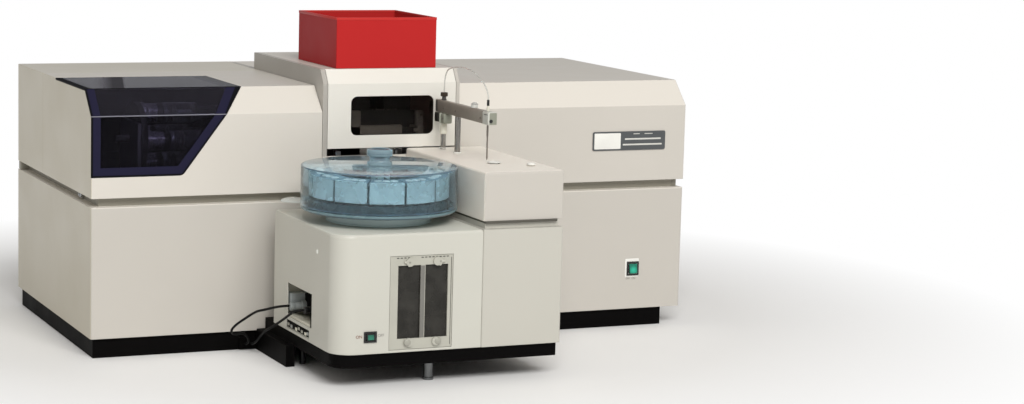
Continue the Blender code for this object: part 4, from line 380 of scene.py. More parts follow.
def lens(name, colour, name_of_node, share):
    """A lit rocker lens, brightest low in its middle."""
    made = plastic(name, colour, 0.15, 0.25, 0.02)
    middle = middle_of(name_of_node) * MM
    half = (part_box(name_of_node)[1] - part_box(name_of_node)[0]) * share
    away = node(made, "VectorMath", {0: object_place(made), 1: middle - Vector((0, 0, 0.003))},
        operation="DISTANCE").outputs["Value"]
    glow = between(made, Field(made, away) * 60.0, shade(colour, 1.9), shade(colour, 0.55), 0.1,
        0.55)
    across, _, height = fields(made)
    inside = (abs(across - middle.x) < half.x) & (abs(height - middle.z) < half.z)
    return coloured(made, mixed(made, inside, (0.01, 0.01, 0.011), glow))


CREAM = paint("cream_paint", CREAM_COLOUR)
CHEEK = cheek_paint()
# The mono housing's copy has a darker front and sides: painted shade.
LAMP_CREAM = housing_paint("lamp_housing_paint", 1.0, 1.08, 0.91)
MONO_CREAM = housing_paint("mono_housing_paint", 0.88, 1.12, 0.97)
# The lower case, platform and tower paints are darker copies of the cream: painted shade.
LOWER_CREAM = edge_lit_paint("lower_case_paint", shade(CREAM_COLOUR, 0.82), "lower_body", 0.0016,
    1.3)
PLATFORM_CREAM = edge_lit_paint("platform_paint", (0.535, 0.53, 0.476), "platform_housing", 0.0012,
    1.3)
TOWER_CREAM = edge_lit_paint("tower_paint", (0.492, 0.48, 0.43), "tower_housing", 0.004, 1.25)
HEAD_CREAM = head_paint()
REAR_CREAM = rear_paint()
WHITE = paint("warm_white_paint", (0.74, 0.72, 0.665), 0.32, 0.42)
BLACK = paint("black_paint", (0.0025, 0.0022, 0.0022), 0.5, 0.65, 0.2, Specular_IOR_Level=0.04)
DECK = deck_paint()
CASTING = paint("dark_casting", (0.055, 0.055, 0.055), 0.5, 0.65, 0.3)
YOKE_GREY = paint("furnace_grey", (0.3, 0.285, 0.27), 0.4, 0.55, 0.2)
RED = chimney_paint()
STEEL = metal("polished_steel", (0.31, 0.295, 0.27))
DARK_LEG = metal("dark_leg", (0.03, 0.03, 0.03), 0.3, 0.4)
LEG_STEEL = metal("leg_steel", (0.155, 0.16, 0.162), 0.15, 0.3)
NEEDLE_STEEL = metal("needle_steel", (0.22, 0.195, 0.17), 0.25, 0.4)
ZINC = metal("zinc_steel", (0.42, 0.43, 0.44), 0.3, 0.45)
ARM = metal("arm_grey", (0.32, 0.29, 0.25), 0.38, 0.5, (1, 0.02, 1), 0.35)
ARM_DARK = metal("arm_end", (0.07, 0.065, 0.06), 0.35, 0.5, (1, 0.02, 1), 0.3)
BRONZE = metal("brown_nut", (0.055, 0.04, 0.028), 0.3, 0.45, (1, 1, 0.05), 0.6)
BRASS = metal("brass", (0.6, 0.45, 0.2))
GRAPHITE = plastic("graphite", (0.03, 0.03, 0.03), 0.45, 0.6, 0.2)
WHITE_PLASTIC = plastic("white_plastic", (0.5, 0.49, 0.43))
BAY_WHITE = plastic("bay_white", (0.43, 0.425, 0.37))
CREAM_PLASTIC = plastic("cream_plastic", (0.7, 0.68, 0.58))
PALE_PLASTIC = plastic("pale_plastic", (0.8, 0.8, 0.76))
GREEN_GREY = plastic("greenish_clamp", (0.25, 0.26, 0.21))
GREY_PLASTIC = plastic("grey_plastic", (0.33, 0.325, 0.28))
BAR_GREY = plastic("bar_grey", (0.17, 0.165, 0.15))
BLUE_GREY = plastic("connector_grey", (0.33, 0.36, 0.36))
BLACK_PLASTIC = plastic("black_plastic", (0.008, 0.008, 0.008), 0.35, 0.5)
# A dark strip standing for the shadow gap under the tower's head: painted shade.
GAP_SHADE_DARK = plastic("gap_shade_dark", (0.075, 0.07, 0.056), 0.5, 0.65)
PLATE_DARK = plastic("plate_dark", (0.075, 0.08, 0.084), 0.3, 0.4)
PRINT_LIGHT = plastic("print_light", (0.62, 0.62, 0.58))
PRINT_GREY = plastic("print_grey", (0.24, 0.23, 0.21))
PRINT_RED = plastic("print_red", (0.22, 0.08, 0.05))
POWER_LENS = lens("power_lens", (0.02, 0.33, 0.22), "power_switch_rocker", 0.46)
SAMPLER_LENS = lens("sampler_lens", (0.02, 0.13, 0.085), "sampler_switch_rocker", 0.36)
CABLE = plastic("cable_rubber", (0.005, 0.005, 0.005), 0.5, 0.65, 0.15, Specular_IOR_Level=0.15)
TUBING = clear("clear_tube", (0.66, 0.66, 0.62), 0.15, 0.3)
CLEAR_PLASTIC = clear("clear_plastic", (0.8, 0.82, 0.8), 0.08, 0.6)
BLUE_CLEAR = clear("blue_clear", (0.74, 0.9, 0.97), 0.03, 0.86, 1.22)
BLUE_KNOB = clear("blue_knob", (0.36, 0.51, 0.58), 0.06, 0.6)
BLUE_SIDE = clear("blue_side", (0.67, 0.81, 0.89), 0.03, 0.975, 1.25)
BLUE_WALL = clear("blue_wall", (0.71, 0.81, 0.79), 0.25, 0.4)
BLUE_DISC = clear("blue_disc", (0.014, 0.045, 0.048), 0.25, 0.15)
BLUE_DISH = clear("blue_dish", (0.17, 0.27, 0.3), 0.2, 0.2)
# The dish's foot is lightened so that it lifts the shade under the drum: painted light.
FOOT_PAINTED_LIGHT = plastic("foot_painted_light", (0.54, 0.66, 0.68))
LAMP_DARK = metal("lamp_shell", (0.36, 0.36, 0.42))
LAMP_GLASS = clear("lamp_glass", (0.9, 0.93, 0.93), 0.02, 0.96)
DARK_GLASS = clear("dark_window", (0.42, 0.4, 0.38), 0.05, 1.0, 1.06)
SYRINGE_GLASS = clear("syringe_glass", (0.85, 0.88, 0.86), 0.03, 0.9)
# The panes' wide shade changes are painted cloudy reflections.
PANE = clear("bay_pane", (0.045, 0.043, 0.038), 0.16, 0.35, 1.3, spread=0.35,
    Specular_IOR_Level=0.2)
# A lighter red than the chimney: a painted highlight on its rim.
RED_RIM = paint("red_rim", (0.52, 0.034, 0.03), 0.3, 0.4, 0.06, Specular_IOR_Level=0.1)
PLATE_GREY = plastic("plate_grey", (0.07, 0.076, 0.08), 0.3, 0.4)
BLUE_EDGE = clear("blue_edge", (0.1, 0.18, 0.24), 0.1, 0.4)
BLUE_PLATE = clear("blue_plate", (0.45, 0.62, 0.7), 0.15, 0.4)
CLAMP_DARK = plastic("clamp_dark", (0.02, 0.018, 0.014), 0.35, 0.5)
GREEN_WHITE = plastic("greenish_white", (0.52, 0.55, 0.47))
CLIP_WHITE = plastic("clip_white", (0.6, 0.6, 0.55))
CLEAR_NUT = clear("clear_nut", (0.8, 0.8, 0.76), 0.1, 0.4)
RECESS_WALL = paint("recess_wall", (0.34, 0.355, 0.34), 0.45, 0.6)
DISH_WHITE = clear("dish_white", (0.72, 0.74, 0.7), 0.2, 0.3)
SMOKED = smoked_lid()

SLOT_FINISH = dict(cream_paint=CREAM, warm_white_paint=WHITE, black_paint=BLACK,
    dark_casting=CASTING, red_enamel=RED, smoked_acrylic=SMOKED, dark_window=DARK_GLASS,
    blue_clear=BLUE_CLEAR, white_plastic=WHITE_PLASTIC, cream_plastic=CREAM_PLASTIC,
    black_plastic=BLACK_PLASTIC, green_plastic=POWER_LENS, arm_grey=ARM, polished_steel=STEEL,
    zinc_steel=ZINC, graphite=GRAPHITE, lamp_glass=LAMP_GLASS, clear_tube=TUBING,
    cable_rubber=CABLE)
NODE_FINISH = dict(optical_bench=DECK, bay_window=PANE, sampler_switch_rocker=SAMPLER_LENS,
    nameplate=PLATE_DARK, furnace_cradle=CASTING, centre_frame=CHEEK, lamp_rear_cover=REAR_CREAM,
    lamp_housing=LAMP_CREAM, mono_housing=MONO_CREAM, lower_body=LOWER_CREAM,
    tower_housing=TOWER_CREAM, bay_frame=BAY_WHITE)
WELD = 0.00001
EDGE_ROUNDS = dict(lower_body=0.0012, lamp_housing=0.001, lamp_rear_cover=0.0008,
    mono_housing=0.0012, centre_frame=0.0006, centre_top=0.0006, furnace_cover=0.0008,
    tower_housing=0.001, fume_chimney=0.0005, optical_bench=0.001, base_plinth=0.0008,
    lamp_lid=0.0004, bay_frame=0.0006, nameplate=0.0004)


def dress_nodes():
    """Gives each CAD node its finish."""
    for entry in frame["record"]["subparts"]:
        name = entry["node"]
        materials = NODES[name].data.materials
        materials.clear()
        materials.append(NODE_FINISH.get(name, SLOT_FINISH[entry["material_slot"]]))


def soften(item, width):
    """A small round on an object's edges, in metres."""
    weld = item.modifiers.new("weld", "WELD")
    weld.merge_threshold = WELD
    bevel = item.modifiers.new("edges", "BEVEL")
    bevel.width = width
    bevel.segments = 2
    bevel.limit_method = "ANGLE"
    bevel.angle_limit = math.radians(32)
    bevel.use_clamp_overlap = True
    normals = item.modifiers.new("normals", "WEIGHTED_NORMAL")
    normals.keep_sharp = True


dress_nodes()
for name, width in EDGE_ROUNDS.items():
    soften(NODES[name], width)


# Stage: floor, world and lights

def ray_is(owner, *kinds):
    """One for a ray of any of the kinds."""
    rays = node(owner, "LightPath")
    first, *others = (Field(owner, rays.outputs["Is %s Ray" % kind]) for kind in kinds)
    for other in others:
        first = first | other
    return first


def make_floor():
    """A pale floor that keeps the object's shadow and turns white further away."""
    shape = bmesh.new()
    bmesh.ops.create_grid(shape, x_segments=1, y_segments=1, size=9.0)
    mesh = bpy.data.meshes.new("floor")
    shape.to_mesh(mesh)
    shape.free()
    floor = bpy.data.objects.new("floor", mesh)
    grey = (0.93, 0.93, 0.93)
    made = material("floor", grey, 0.6)
    coloured(made, mottled(made, grey, 0.01, 2.0))
    away = node(made, "VectorMath", {0: object_place(made)}, operation="LENGTH").outputs["Value"]
    far = between(made, Field(made, away) * 0.5, 0.0, 1.0, 0.36, 0.66)
    factor = Field(made, far) * ray_is(made, "Camera", "Glossy", "Transmission")
    white = node(made, "Emission", {"Color": (1, 1, 1, 1), "Strength": 1.0})
    nodes = made.node_tree.nodes
    mix = node(made, "MixShader",
        {0: factor, 1: nodes["Principled BSDF"].outputs[0], 2: white.outputs[0]})
    feed(made, nodes["Material Output"].inputs["Surface"], mix.outputs[0])
    mesh.materials.append(made)
    bpy.context.scene.collection.objects.link(floor)


def make_world():
    """Soft warm light, a cooler one in mirrors, and a white background."""
    world = bpy.data.worlds.new("studio")
    world.use_nodes = True
    nodes = world.node_tree.nodes
    light = nodes["Background"]
    light.inputs["Color"].default_value = (1.0, 0.965, 0.915, 1)
    light.inputs["Strength"].default_value = 0.38
    glossy = node(world, "Background", {"Color": (0.96, 0.98, 1.0, 1), "Strength": 0.5})
    white = node(world, "Background", {"Color": (1, 1, 1, 1)})
    for kinds, other in ((("Glossy",), glossy), (("Camera", "Transmission"), white)):
        light = node(world, "MixShader",
            {0: ray_is(world, *kinds), 1: light.outputs[0], 2: other.outputs[0]})
    feed(world, nodes["World Output"].inputs["Surface"], light.outputs[0])
    bpy.context.scene.world = world
    bpy.context.scene.view_settings.view_transform = "Standard"


def make_light(name, place, target, size, power, colour):
    data = bpy.data.lights.new(name, "AREA")
    data.shape = "RECTANGLE"
    data.size, data.size_y = size
    data.energy = power
    data.color = colour
    lamp = bpy.data.objects.new(name, data)
    lamp.location = place
    lamp.rotation_euler = (Vector(target) - Vector(place)).to_track_quat("-Z", "Y").to_euler()
    bpy.context.scene.collection.objects.link(lamp)


make_floor()
make_world()
make_light("key_light", (-0.7, -5.4, 4.3), (0.0, -0.2, 0.25), (4.0, 2.6), 350, (1.0, 0.99, 0.97))
make_light("fill_light", (-3.2, -1.6, 1.6), (-0.2, -0.1, 0.25), (1.8, 1.8), 3.5, (1.0, 0.92, 0.8))


# Shapes in millimetres, each made in a mesh of its own and then taken into its piece

MERGE = 0.001
PARALLEL = 0.9
SHARP = 0.9
PAN_HEAD = ((0, 0), (1, 0), (1, 0.35), (0.75, 0.6), (0, 0.65))
SCREW_SLOT = Vector((1.24, 0.2, 0.1))


def bevel(shape, edges, width, segments=2):
    """Rounds some edges of a shape."""
    bmesh.ops.bevel(shape, geom=edges, offset=width, segments=segments, profile=0.5, affect="EDGES",
        material=-1)


def block(size):
    """A block around the origin, to be rounded and placed."""
    shape = bmesh.new()
    bmesh.ops.create_cube(shape, size=1.0)
    bmesh.ops.scale(shape, vec=size, verts=shape.verts)
    return shape


def edges_along(shape, axis):
    """The edges that run along an axis, given by its number."""
    return [edge for edge in shape.edges if
        abs((edge.verts[0].co - edge.verts[1].co).normalized()[axis]) > PARALLEL]


def sharp_edges(shape):
    return [edge for edge in shape.edges if edge.calc_face_angle(0) > SHARP]


def turn_to(axis):
    return UP.rotation_difference(Vector(axis)).to_matrix()


def spin(shape, angle, steps, full):
    """Turns a profile around the upright axis."""
    bmesh.ops.spin(shape, geom=shape.verts[:] + shape.edges[:] + shape.faces[:], cent=(0, 0, 0),
        axis=UP, dvec=(0, 0, 0), angle=angle, steps=steps, use_merge=full, use_duplicate=False)


def round_curve(name, points, radius, resolution):
    """A curve through points with a round section."""
    curve = bpy.data.curves.new(name, "CURVE")
    curve.dimensions = "3D"
    curve.bevel_depth = radius
    curve.bevel_resolution = resolution
    curve.use_fill_caps = True
    spline = curve.splines.new("POLY")
    spline.points.add(len(points) - 1)
    for point, place in zip(spline.points, points):
        point.co = (*place, 1)
    return curve


def from_curve(curve):
    """The mesh of a curve or of letters, which are then removed."""
    item = bpy.data.objects.new("curve", curve)
    mesh = bpy.data.meshes.new_from_object(item)
    shape = bmesh.new()
    shape.from_mesh(mesh)
    bpy.data.objects.remove(item)
    bpy.data.curves.remove(curve)
    bpy.data.meshes.remove(mesh)
    return shape


class Piece:
    """One piece of the instrument, built up from shapes."""

    def __init__(self):
        self.bm = bmesh.new()

    def take(self, shape, index=0, turn=None, place=(0, 0, 0)):
        """Adds a shape in one material, turned and then moved to its place."""
        bmesh.ops.remove_doubles(shape, verts=shape.verts, dist=MERGE)
        bmesh.ops.recalc_face_normals(shape, faces=shape.faces)
        for face in shape.faces:
            face.material_index = index
        if turn is not None:
            bmesh.ops.rotate(shape, cent=(0, 0, 0), matrix=turn, verts=shape.verts)
        bmesh.ops.translate(shape, vec=place, verts=shape.verts)
        mesh = bpy.data.meshes.new("shape")
        shape.to_mesh(mesh)
        shape.free()
        self.bm.from_mesh(mesh)
        bpy.data.meshes.remove(mesh)

    def box(self, low, high, edge=0.0, index=0, segments=2, corner=0.0, axis=1):
        """A block: corner rounds its edges along one axis, edge rounds its other edges."""
        low, high = Vector(map(min, low, high)), Vector(map(max, low, high))
        shape = block(high - low)
        if corner:
            bevel(shape, edges_along(shape, axis), corner, 5)
        if edge:
            bevel(shape, sharp_edges(shape), edge, segments)
        self.take(shape, index, None, (low + high) / 2)

    def turned(self, profile, place, axis=UP, index=0, steps=48):
        """A turned form from (radius, height) points, closed when it stays off the axis."""
        shape = bmesh.new()
        verts = [shape.verts.new((radius, 0, height)) for radius, height in profile]
        if profile[0][0]:
            verts.append(verts[0])
        for first, second in zip(verts, verts[1:]):
            shape.edges.new((first, second))
        spin(shape, FULL_TURN, steps, True)
        self.take(shape, index, turn_to(axis), place)

    def rod(self, radius, start, end, index=0, edge=0.0, steps=24):
        start, end = Vector(start), Vector(end)
        length = (end - start).length
        profile = [(0, 0), (radius, 0), (radius, length), (0, length)]
        if edge:
            profile[1:3] = [(radius - edge, 0), (radius, edge), (radius, length - edge),
                (radius - edge, length)]
        self.turned(profile, start, end - start, index, steps)

    def ring(self, inner, outer, low, high, place, axis=UP, index=0, edge=0.0, steps=48):
        profile = [(inner, low), (outer, low), (outer, high), (inner, high)]
        if edge:
            profile[1:3] = [(outer - edge, low), (outer, low + edge), (outer, high - edge),
                (outer - edge, high)]
        self.turned(profile, place, axis, index, steps)

    def sector(self, inner, outer, low, high, start, sweep, place, index=0, steps=8):
        """Part of a ring from the angle start over the angle sweep."""
        shape = bmesh.new()
        corners = [(inner, 0, low), (outer, 0, low), (outer, 0, high), (inner, 0, high)]
        shape.faces.new([shape.verts.new(corner) for corner in corners])
        spin(shape, sweep, steps, False)
        self.take(shape, index, Matrix.Rotation(start, 3, "Z"), place)

    def fluted(self, radius, depth, ridges, low, high, place, index=0, edge=0.3):
        """A knurled round, with ridges down its side."""
        shape = bmesh.new()
        verts = bmesh.ops.create_circle(shape, cap_ends=True, radius=radius,
            segments=2 * ridges)["verts"]
        inset = 1 - depth / radius
        bmesh.ops.scale(shape, vec=(inset, inset, 1), verts=verts[::2])
        made = bmesh.ops.extrude_face_region(shape, geom=shape.faces[:])["geom"]
        raised = [item for item in made if isinstance(item, bmesh.types.BMVert)]
        bmesh.ops.translate(shape, vec=(0, 0, high - low), verts=raised)
        flat = [face for face in shape.faces if abs(face.normal.z) > PARALLEL]
        bevel(shape, list({e for face in flat for e in face.edges}), edge, 1)
        self.take(shape, index, None, Vector(place) + Vector((0, 0, low)))

    def pipe(self, points, radius, index=0):
        """A round rod bent through points."""
        self.take(from_curve(round_curve("bent_rod", points, radius, 3)), index)

    def lettering(self, words, size, place, index=0):
        """Raised letters that face forward, with their middle at place."""
        curve = bpy.data.curves.new("lettering", "FONT")
        curve.body = words
        curve.size = size
        curve.extrude = 0.1
        curve.align_x = "CENTER"
        curve.align_y = "CENTER"
        self.take(from_curve(curve), index, Matrix.Rotation(math.pi / 2, 3, "X"), place)

    def screw(self, place, axis, radius, index=0, slot_index=1):
        """A pan head with a slot, standing on place."""
        head = [(across * radius, height * radius) for across, height in PAN_HEAD]
        self.turned(head, place, axis, index, 20)
        turn = turn_to(axis)
        self.take(block(SCREW_SLOT * radius), slot_index, turn,
            Vector(place) + turn @ UP * 0.62 * radius)

    def make(self, name, materials, body=ROOT, replaced=None):
        """Turns the shapes into a piece in metres that rides on a body."""
        mesh = bpy.data.meshes.new(name)
        bmesh.ops.scale(self.bm, vec=(MM, MM, MM), verts=self.bm.verts)
        self.bm.to_mesh(mesh)
        self.bm.free()
        for finish in materials:
            mesh.materials.append(finish)
        mesh.shade_smooth()
        mesh.set_sharp_from_angle(angle=math.radians(35))
        item = bpy.data.objects.new(name, mesh)
        bpy.context.scene.collection.objects.link(item)
        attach(item, body)
        if replaced:
            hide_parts(replaced)
        return item


# Cords, with routes in metres from the cabinet's left side, its front and the bench

CABLE_1 = [(0.2793, 0.1225, 0.0954), (0.269, 0.0969, 0.087), (0.2568, 0.085, 0.0815),
    (0.2442, 0.065, 0.0669), (0.2336, 0.052, 0.0547), (0.2288, 0.043, 0.0439),
    (0.2362, 0.034, 0.0358), (0.2561, 0.028, 0.0336), (0.2666, 0.0203, 0.0204)]
CABLE_2 = [(0.2849, 0.1921, 0.1003), (0.2882, 0.1669, 0.0913), (0.2864, 0.13, 0.0738),
    (0.2791, 0.1, 0.057), (0.2757, 0.075, 0.0452), (0.2733, 0.0401, 0.0222)]
CAPILLARY = [(0.6105, 0.2114, 0.4542), (0.6105, 0.2058, 0.4599), (0.6105, 0.1985, 0.4655),
    (0.6105, 0.1901, 0.4699), (0.6105, 0.15, 0.483), (0.6105, 0.1, 0.485), (0.6105, 0.05, 0.478),
    (0.6105, 0.034, 0.464)]


def cord_points(route, start, leave, end, arrive, lead):
    """A cord's points in millimetres, straight for a short lead at both ends."""
    start, end = Vector(start), Vector(end)
    middle = [at(*Vector(point) / MM) for point in route]
    return [start, start + Vector(leave) * lead, *middle, end + Vector(arrive) * lead, end]


def smooth_route(points, spacing):
    """Even steps on the smooth curve through a cord's points."""
    fine = []
    last = len(points) - 1
    for index in range(last):
        before, start = points[max(index - 1, 0)], points[index]
        end, after = points[index + 1], points[min(index + 2, last)]
        leave, arrive = (end - before) / 2, (after - start) / 2
        for step in range(24):
            t = step / 24
            fine.append(start * (2 * t ** 3 - 3 * t ** 2 + 1) + leave * (t ** 3 - 2 * t ** 2 + t) +
                end * (3 * t ** 2 - 2 * t ** 3) + arrive * (t ** 3 - t ** 2))
    fine.append(points[-1])
    lengths = [0.0]
    for first, second in zip(fine, fine[1:]):
        lengths.append(lengths[-1] + (second - first).length)
    count = max(2, round(lengths[-1] / spacing))
    route, cursor = [], 0
    for step in range(count + 1):
        goal = lengths[-1] * step / count
        while cursor < len(lengths) - 2 and lengths[cursor + 1] < goal:
            cursor += 1
        share = (goal - lengths[cursor]) / (lengths[cursor + 1] - lengths[cursor])
        route.append(fine[cursor].lerp(fine[cursor + 1], share))
    return route


def make_cord(name, node_name, points, radius, finish, body):
    """A cord through points in millimetres, with its radius in metres."""
    route = smooth_route([point * MM for point in points], 0.004)
    curve = round_curve(name, route, radius, 5)
    curve.splines[0].use_smooth = True
    curve.materials.append(finish)
    item = bpy.data.objects.new(name, curve)
    bpy.context.scene.collection.objects.link(item)
    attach(item, body)
    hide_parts(node_name)


def make_cords():
    gland_x = span("platform_housing")[0].x + 0.2
    port_y = FRONT + 0.2
    for number, route, out, height, port in ((1, CABLE_1, 131, 98, 267),
            (2, CABLE_2, 200, 103.1, 277)):
        points = cord_points(route, (gland_x, FRONT - out, height), -RIGHT,
            (LEFT + port, port_y, 11.5), OUTWARD, 7)
        make_cord("cable_%d" % number, "signal_cable_%d" % number, points, 0.0021, CABLE, ROOT)
    points = cord_points(CAPILLARY, above(NEEDLE, span("sample_needle")[1].z + 0.3), UP,
        above(COLUMN, span("thumb_nut")[1].z + 0.3), UP, 5)
    make_cord("capillary", "sample_capillary", points, 0.0011, TUBING, "arm_body")


make_cords()


# Housings whose rounded corners are shaded smooth

def make_rounded_housings():
    """Copies of three CAD nodes, cleaned so that a small round can run along their edges."""
    for name, finish, slot, width in (("platform_housing", PLATFORM_CREAM, "cream_paint", 0.8),
            ("tower_head", HEAD_CREAM, "warm_white_paint", 0.6),
            ("support_frame", BLACK, "black_paint", 1)):
        shape = bmesh.new()
        shape.from_mesh(NODES[name].data)
        bmesh.ops.remove_doubles(shape, verts=shape.verts, dist=WELD)
        bmesh.ops.dissolve_limit(shape, angle_limit=math.radians(0.5), verts=shape.verts,
            edges=shape.edges, delimit={"NORMAL"})
        bmesh.ops.scale(shape, vec=(1 / MM,) * 3, verts=shape.verts)
        housing = Piece()
        housing.take(shape)
        soften(housing.make(name + "_shell", [finish], ROOT, name), width * MM)


# Lamp compartment

def make_lamps():
    for number in range(1, 5):
        name = "cathode_lamp_%d" % number
        start = middle_of(name)
        start.x = span(name)[0].x
        lamp = Piece()
        lamp.turned([(0, 0), (15, 0), (16.5, 1.5), (16.5, 6), (15.8, 7), (15.8, 30), (16.5, 31),
            (16.5, 38), (15.5, 40), (0, 40)], start, RIGHT)
        lamp.ring(15.9, 16.5, 8, 29, start, RIGHT, 3, 0.2)
        lamp.turned([(0, 149.8), (11.8, 149.8), (12.4, 149), (12.4, 107), (13.5, 103), (17, 99),
            (17.9, 95), (17.9, 38.5), (16.8, 38.5), (16.8, 94.5), (16, 98), (12.6, 102),
            (11.3, 107), (11.3, 148.5), (0, 148.5)], start, RIGHT, 1)
        lamp.ring(4, 5.5, 66, 92, start, RIGHT, 2, 0.2, 24)
        for along in (62, 94):
            lamp.ring(5.6, 15.5, along, along + 1, start, RIGHT, 4, 0.1, 32)
        for side in (-10, 10):
            lamp.rod(0.6, start + Vector((40.5, side, 0)), start + Vector((94, side, 0)), 2,
                steps=10)
        lamp.ring(13.5, 16.8, 40.5, 46, start, RIGHT, 2, 0.3, 32)
        lamp.make("lamp_%d" % number,
            [BLACK_PLASTIC, LAMP_GLASS, LAMP_DARK, LAMP_DARK, GREY_PLASTIC], "turret_body", name)


def make_turret_parts():
    centre = middle_of("lamp_turret")
    centre.x = span("lamp_turret")[1].x
    collars = Piece()
    for number in range(1, 5):
        place = middle_of("cathode_lamp_%d" % number)
        place.x = centre.x
        outward = (place - centre).normalized()
        collars.ring(16.8, 18.6, 0, 9, place + 0.2 * RIGHT, RIGHT, 0, 0.5)
        place.x += 4.5
        collars.rod(2.2, place + 18 * outward, place + 24.5 * outward, 1, 0.4, 16)
    centre.x += 0.2
    collars.turned([(0, 6), (6, 6), (8.5, 4), (8.5, 0), (0, 0)], centre, RIGHT, 1)
    for quarter in range(4):
        turn = Matrix.Rotation(math.pi / 2 * quarter + math.pi / 4, 3, "X")
        collars.screw(centre + turn @ Vector((0, 54, 0)), RIGHT, 2.4, 1, 2)
    collars.make("turret_collars", [LAMP_DARK, STEEL, BLACK_PLASTIC], "turret_body")


def make_lamp_box_lining():
    """Dark sheets on the inside of the lamp compartment."""
    low, high = span("lamp_housing")
    lining = Piece()
    floor_top = span("optical_bench")[1].z
    lining.box((low.x + 16.5, low.y + 16.5, floor_top + 0.2),
        (high.x - 6, high.y - 1, floor_top + 1.2), 0.3)
    lining.box((low.x + 2.4, high.y - 3.5, floor_top + 4), (high.x - 3, high.y - 1.2, high.z - 4),
        0.3)
    lining.box((low.x + 2.3, low.y + 246, 276), (low.x + 3.5, high.y - 4, 440), 0.3)
    lining.box((-272, low.y + 12, 270), (-270.5, low.y + 200, 379), 0.4)
    for height in (285, 300, 315):
        lining.box((low.x + 30, high.y - 5.5, height), (high.x - 30, high.y - 3.4, height + 4), 0.6)
    lining.make("lamp_box_lining", [BLACK])
    rail = Piece()
    for out in (55.5, 164.5):
        rail.box((-500, FRONT + out - 6, floor_top + 1.4), (-300, FRONT + out + 6, floor_top + 10),
            1.5, corner=1, axis=2)
    for across in (-490, -310):
        for out in (55.5, 164.5):
            rail.screw((across, FRONT + out, floor_top + 10), UP, 3.5)
    rail.make("lamp_rails", [ZINC, BLACK_PLASTIC])


def make_lid_trim():
    """Hinge knuckles on the pin, and a dark lip under the lid's rear edge."""
    low, high = span("lid_hinge_pin")
    pin = (low + high) / 2
    knuckles = Piece()
    for share in (0.08, 0.5, 0.92):
        across = low.x + (high.x - low.x) * share
        knuckles.ring(0.92, 1.2, -9, 9, (across, pin.y, pin.z - 0.4), RIGHT, steps=20)
    knuckles.make("hinge_knuckles", [ZINC])
    edge = Piece()
    lid_low, lid_high = span("lamp_lid")
    edge.box((lid_low.x + 0.4, lid_low.y + 46, lid_high.z - 5.2),
        (lid_low.x + 3, lid_high.y - 3, lid_high.z - 3.1), 0.4)
    edge.box((lid_low.x + 3, lid_high.y - 8.5, lid_high.z - 5.2),
        (lid_high.x - 6, lid_high.y - 3, lid_high.z - 3.1), 0.4)
    edge.make("lid_edge_strip", [BLACK_PLASTIC], "lamp_lid_body")


# Furnace behind its window

def make_furnace_parts():
    front = FRONT + 55.2
    yoke = Piece()
    for left, ahead, low, right, behind, high, edge, *finish in ((446, 0, 275.2, 491, 13.8, 397.2,
            1.2), (446, 0, 275.2, 569, 13.8, 370.8, 1.2), (597.2, 0, 275.2, 609, 13.8, 371.2, 1.2),
            (596, 0, 370, 609, 13.8, 395.8, 3, 0, 4), (569, 6, 275.2, 597.5, 13.8, 366, 0.8, 1),
            (590, -1.2, 359, 602, 1, 365, 0.5), (491.1, 11.8, 370, 596.5, 13.8, 396, 0.4, 1),
            (512, 2, 398.4, 562, 4, 399.2, 0.2, 2)):
        yoke.box((LEFT + left, front + ahead, low), (LEFT + right, front + behind, high), edge,
            *finish)
    for across, height in ((453, 390), (453, 345), (603.5, 352), (603.5, 388)):
        yoke.screw((LEFT + across, front, height), OUTWARD, 2.6, 2)
    yoke.make("furnace_yoke", [YOKE_GREY, CASTING, STEEL])

    pipes = Piece()
    for number, across in enumerate((-83, -70, 48)):
        points = [Vector((across, along, height)) for along,
            height in ((-100, 276), (-100, 300), (-92, 330), (-70, 350), (-20, 352), (60, 340),
            (140, 300))]
        pipes.pipe(smooth_route(points, 6), 3.2, number % 2)
        pipes.ring(3.3, 5.2, 0.0, 10, (across, -100, 275.5), UP, 2, 0.6, 20)
    pipes.make("cooling_pipes", [BLACK_PLASTIC, BLUE_GREY, BRASS])

    jaw_low, jaw_high = span("furnace_jaw")
    jaw = Piece()
    middle = (jaw_low + jaw_high) / 2
    jaw.turned([(0, 7), (10, 7), (11.5, 5.5), (11.5, 0.2), (0, 0.2)], (jaw_high.x, middle.y, 394.5),
        RIGHT)
    for offset in (-22, 22):
        for height in (415, 370):
            jaw.screw((jaw_high.x + 0.2, middle.y + offset, height), RIGHT, 3.2)
    for across in (10, 40):
        jaw.box((jaw_low.x + across - 4.5, jaw_low.y + 8, jaw_high.z - 0.6),
            (jaw_low.x + across + 4.5, jaw_high.y - 8, jaw_high.z + 5), 1.2)
    jaw.make("jaw_fittings", [ZINC, BLACK_PLASTIC], "furnace_jaw_body")

    head = Piece()
    head.ring(4.6, 10, 0.0, 4, (-22.6, -149, 428.8), UP, 1, 0.5, 32)
    for across in (-46, -34):
        head.box((across - 4.2, -176, 428.4), (across + 4.2, -122, 433.5), 1.2)
    head.make("furnace_head", [ZINC, GRAPHITE])


def make_slot_fittings():
    """Bright ends of the furnace bench that show in the slot under the cover."""
    bits = Piece()
    for across, width in ((438.5, 10), (549.5, 12)):
        place = at(across, -30, 329.5)
        bits.box(place - Vector((width / 2, 6, 50)), place + Vector((width / 2, 6, 3)), 1)
        bits.screw(place + Vector((0, 0, 3)), UP, 2.6)
    bits.box(at(420, -24, 267), at(640, -26.2, 324), 0.6, 1)
    bits.make("slot_fittings", [LEG_STEEL, BLACK])


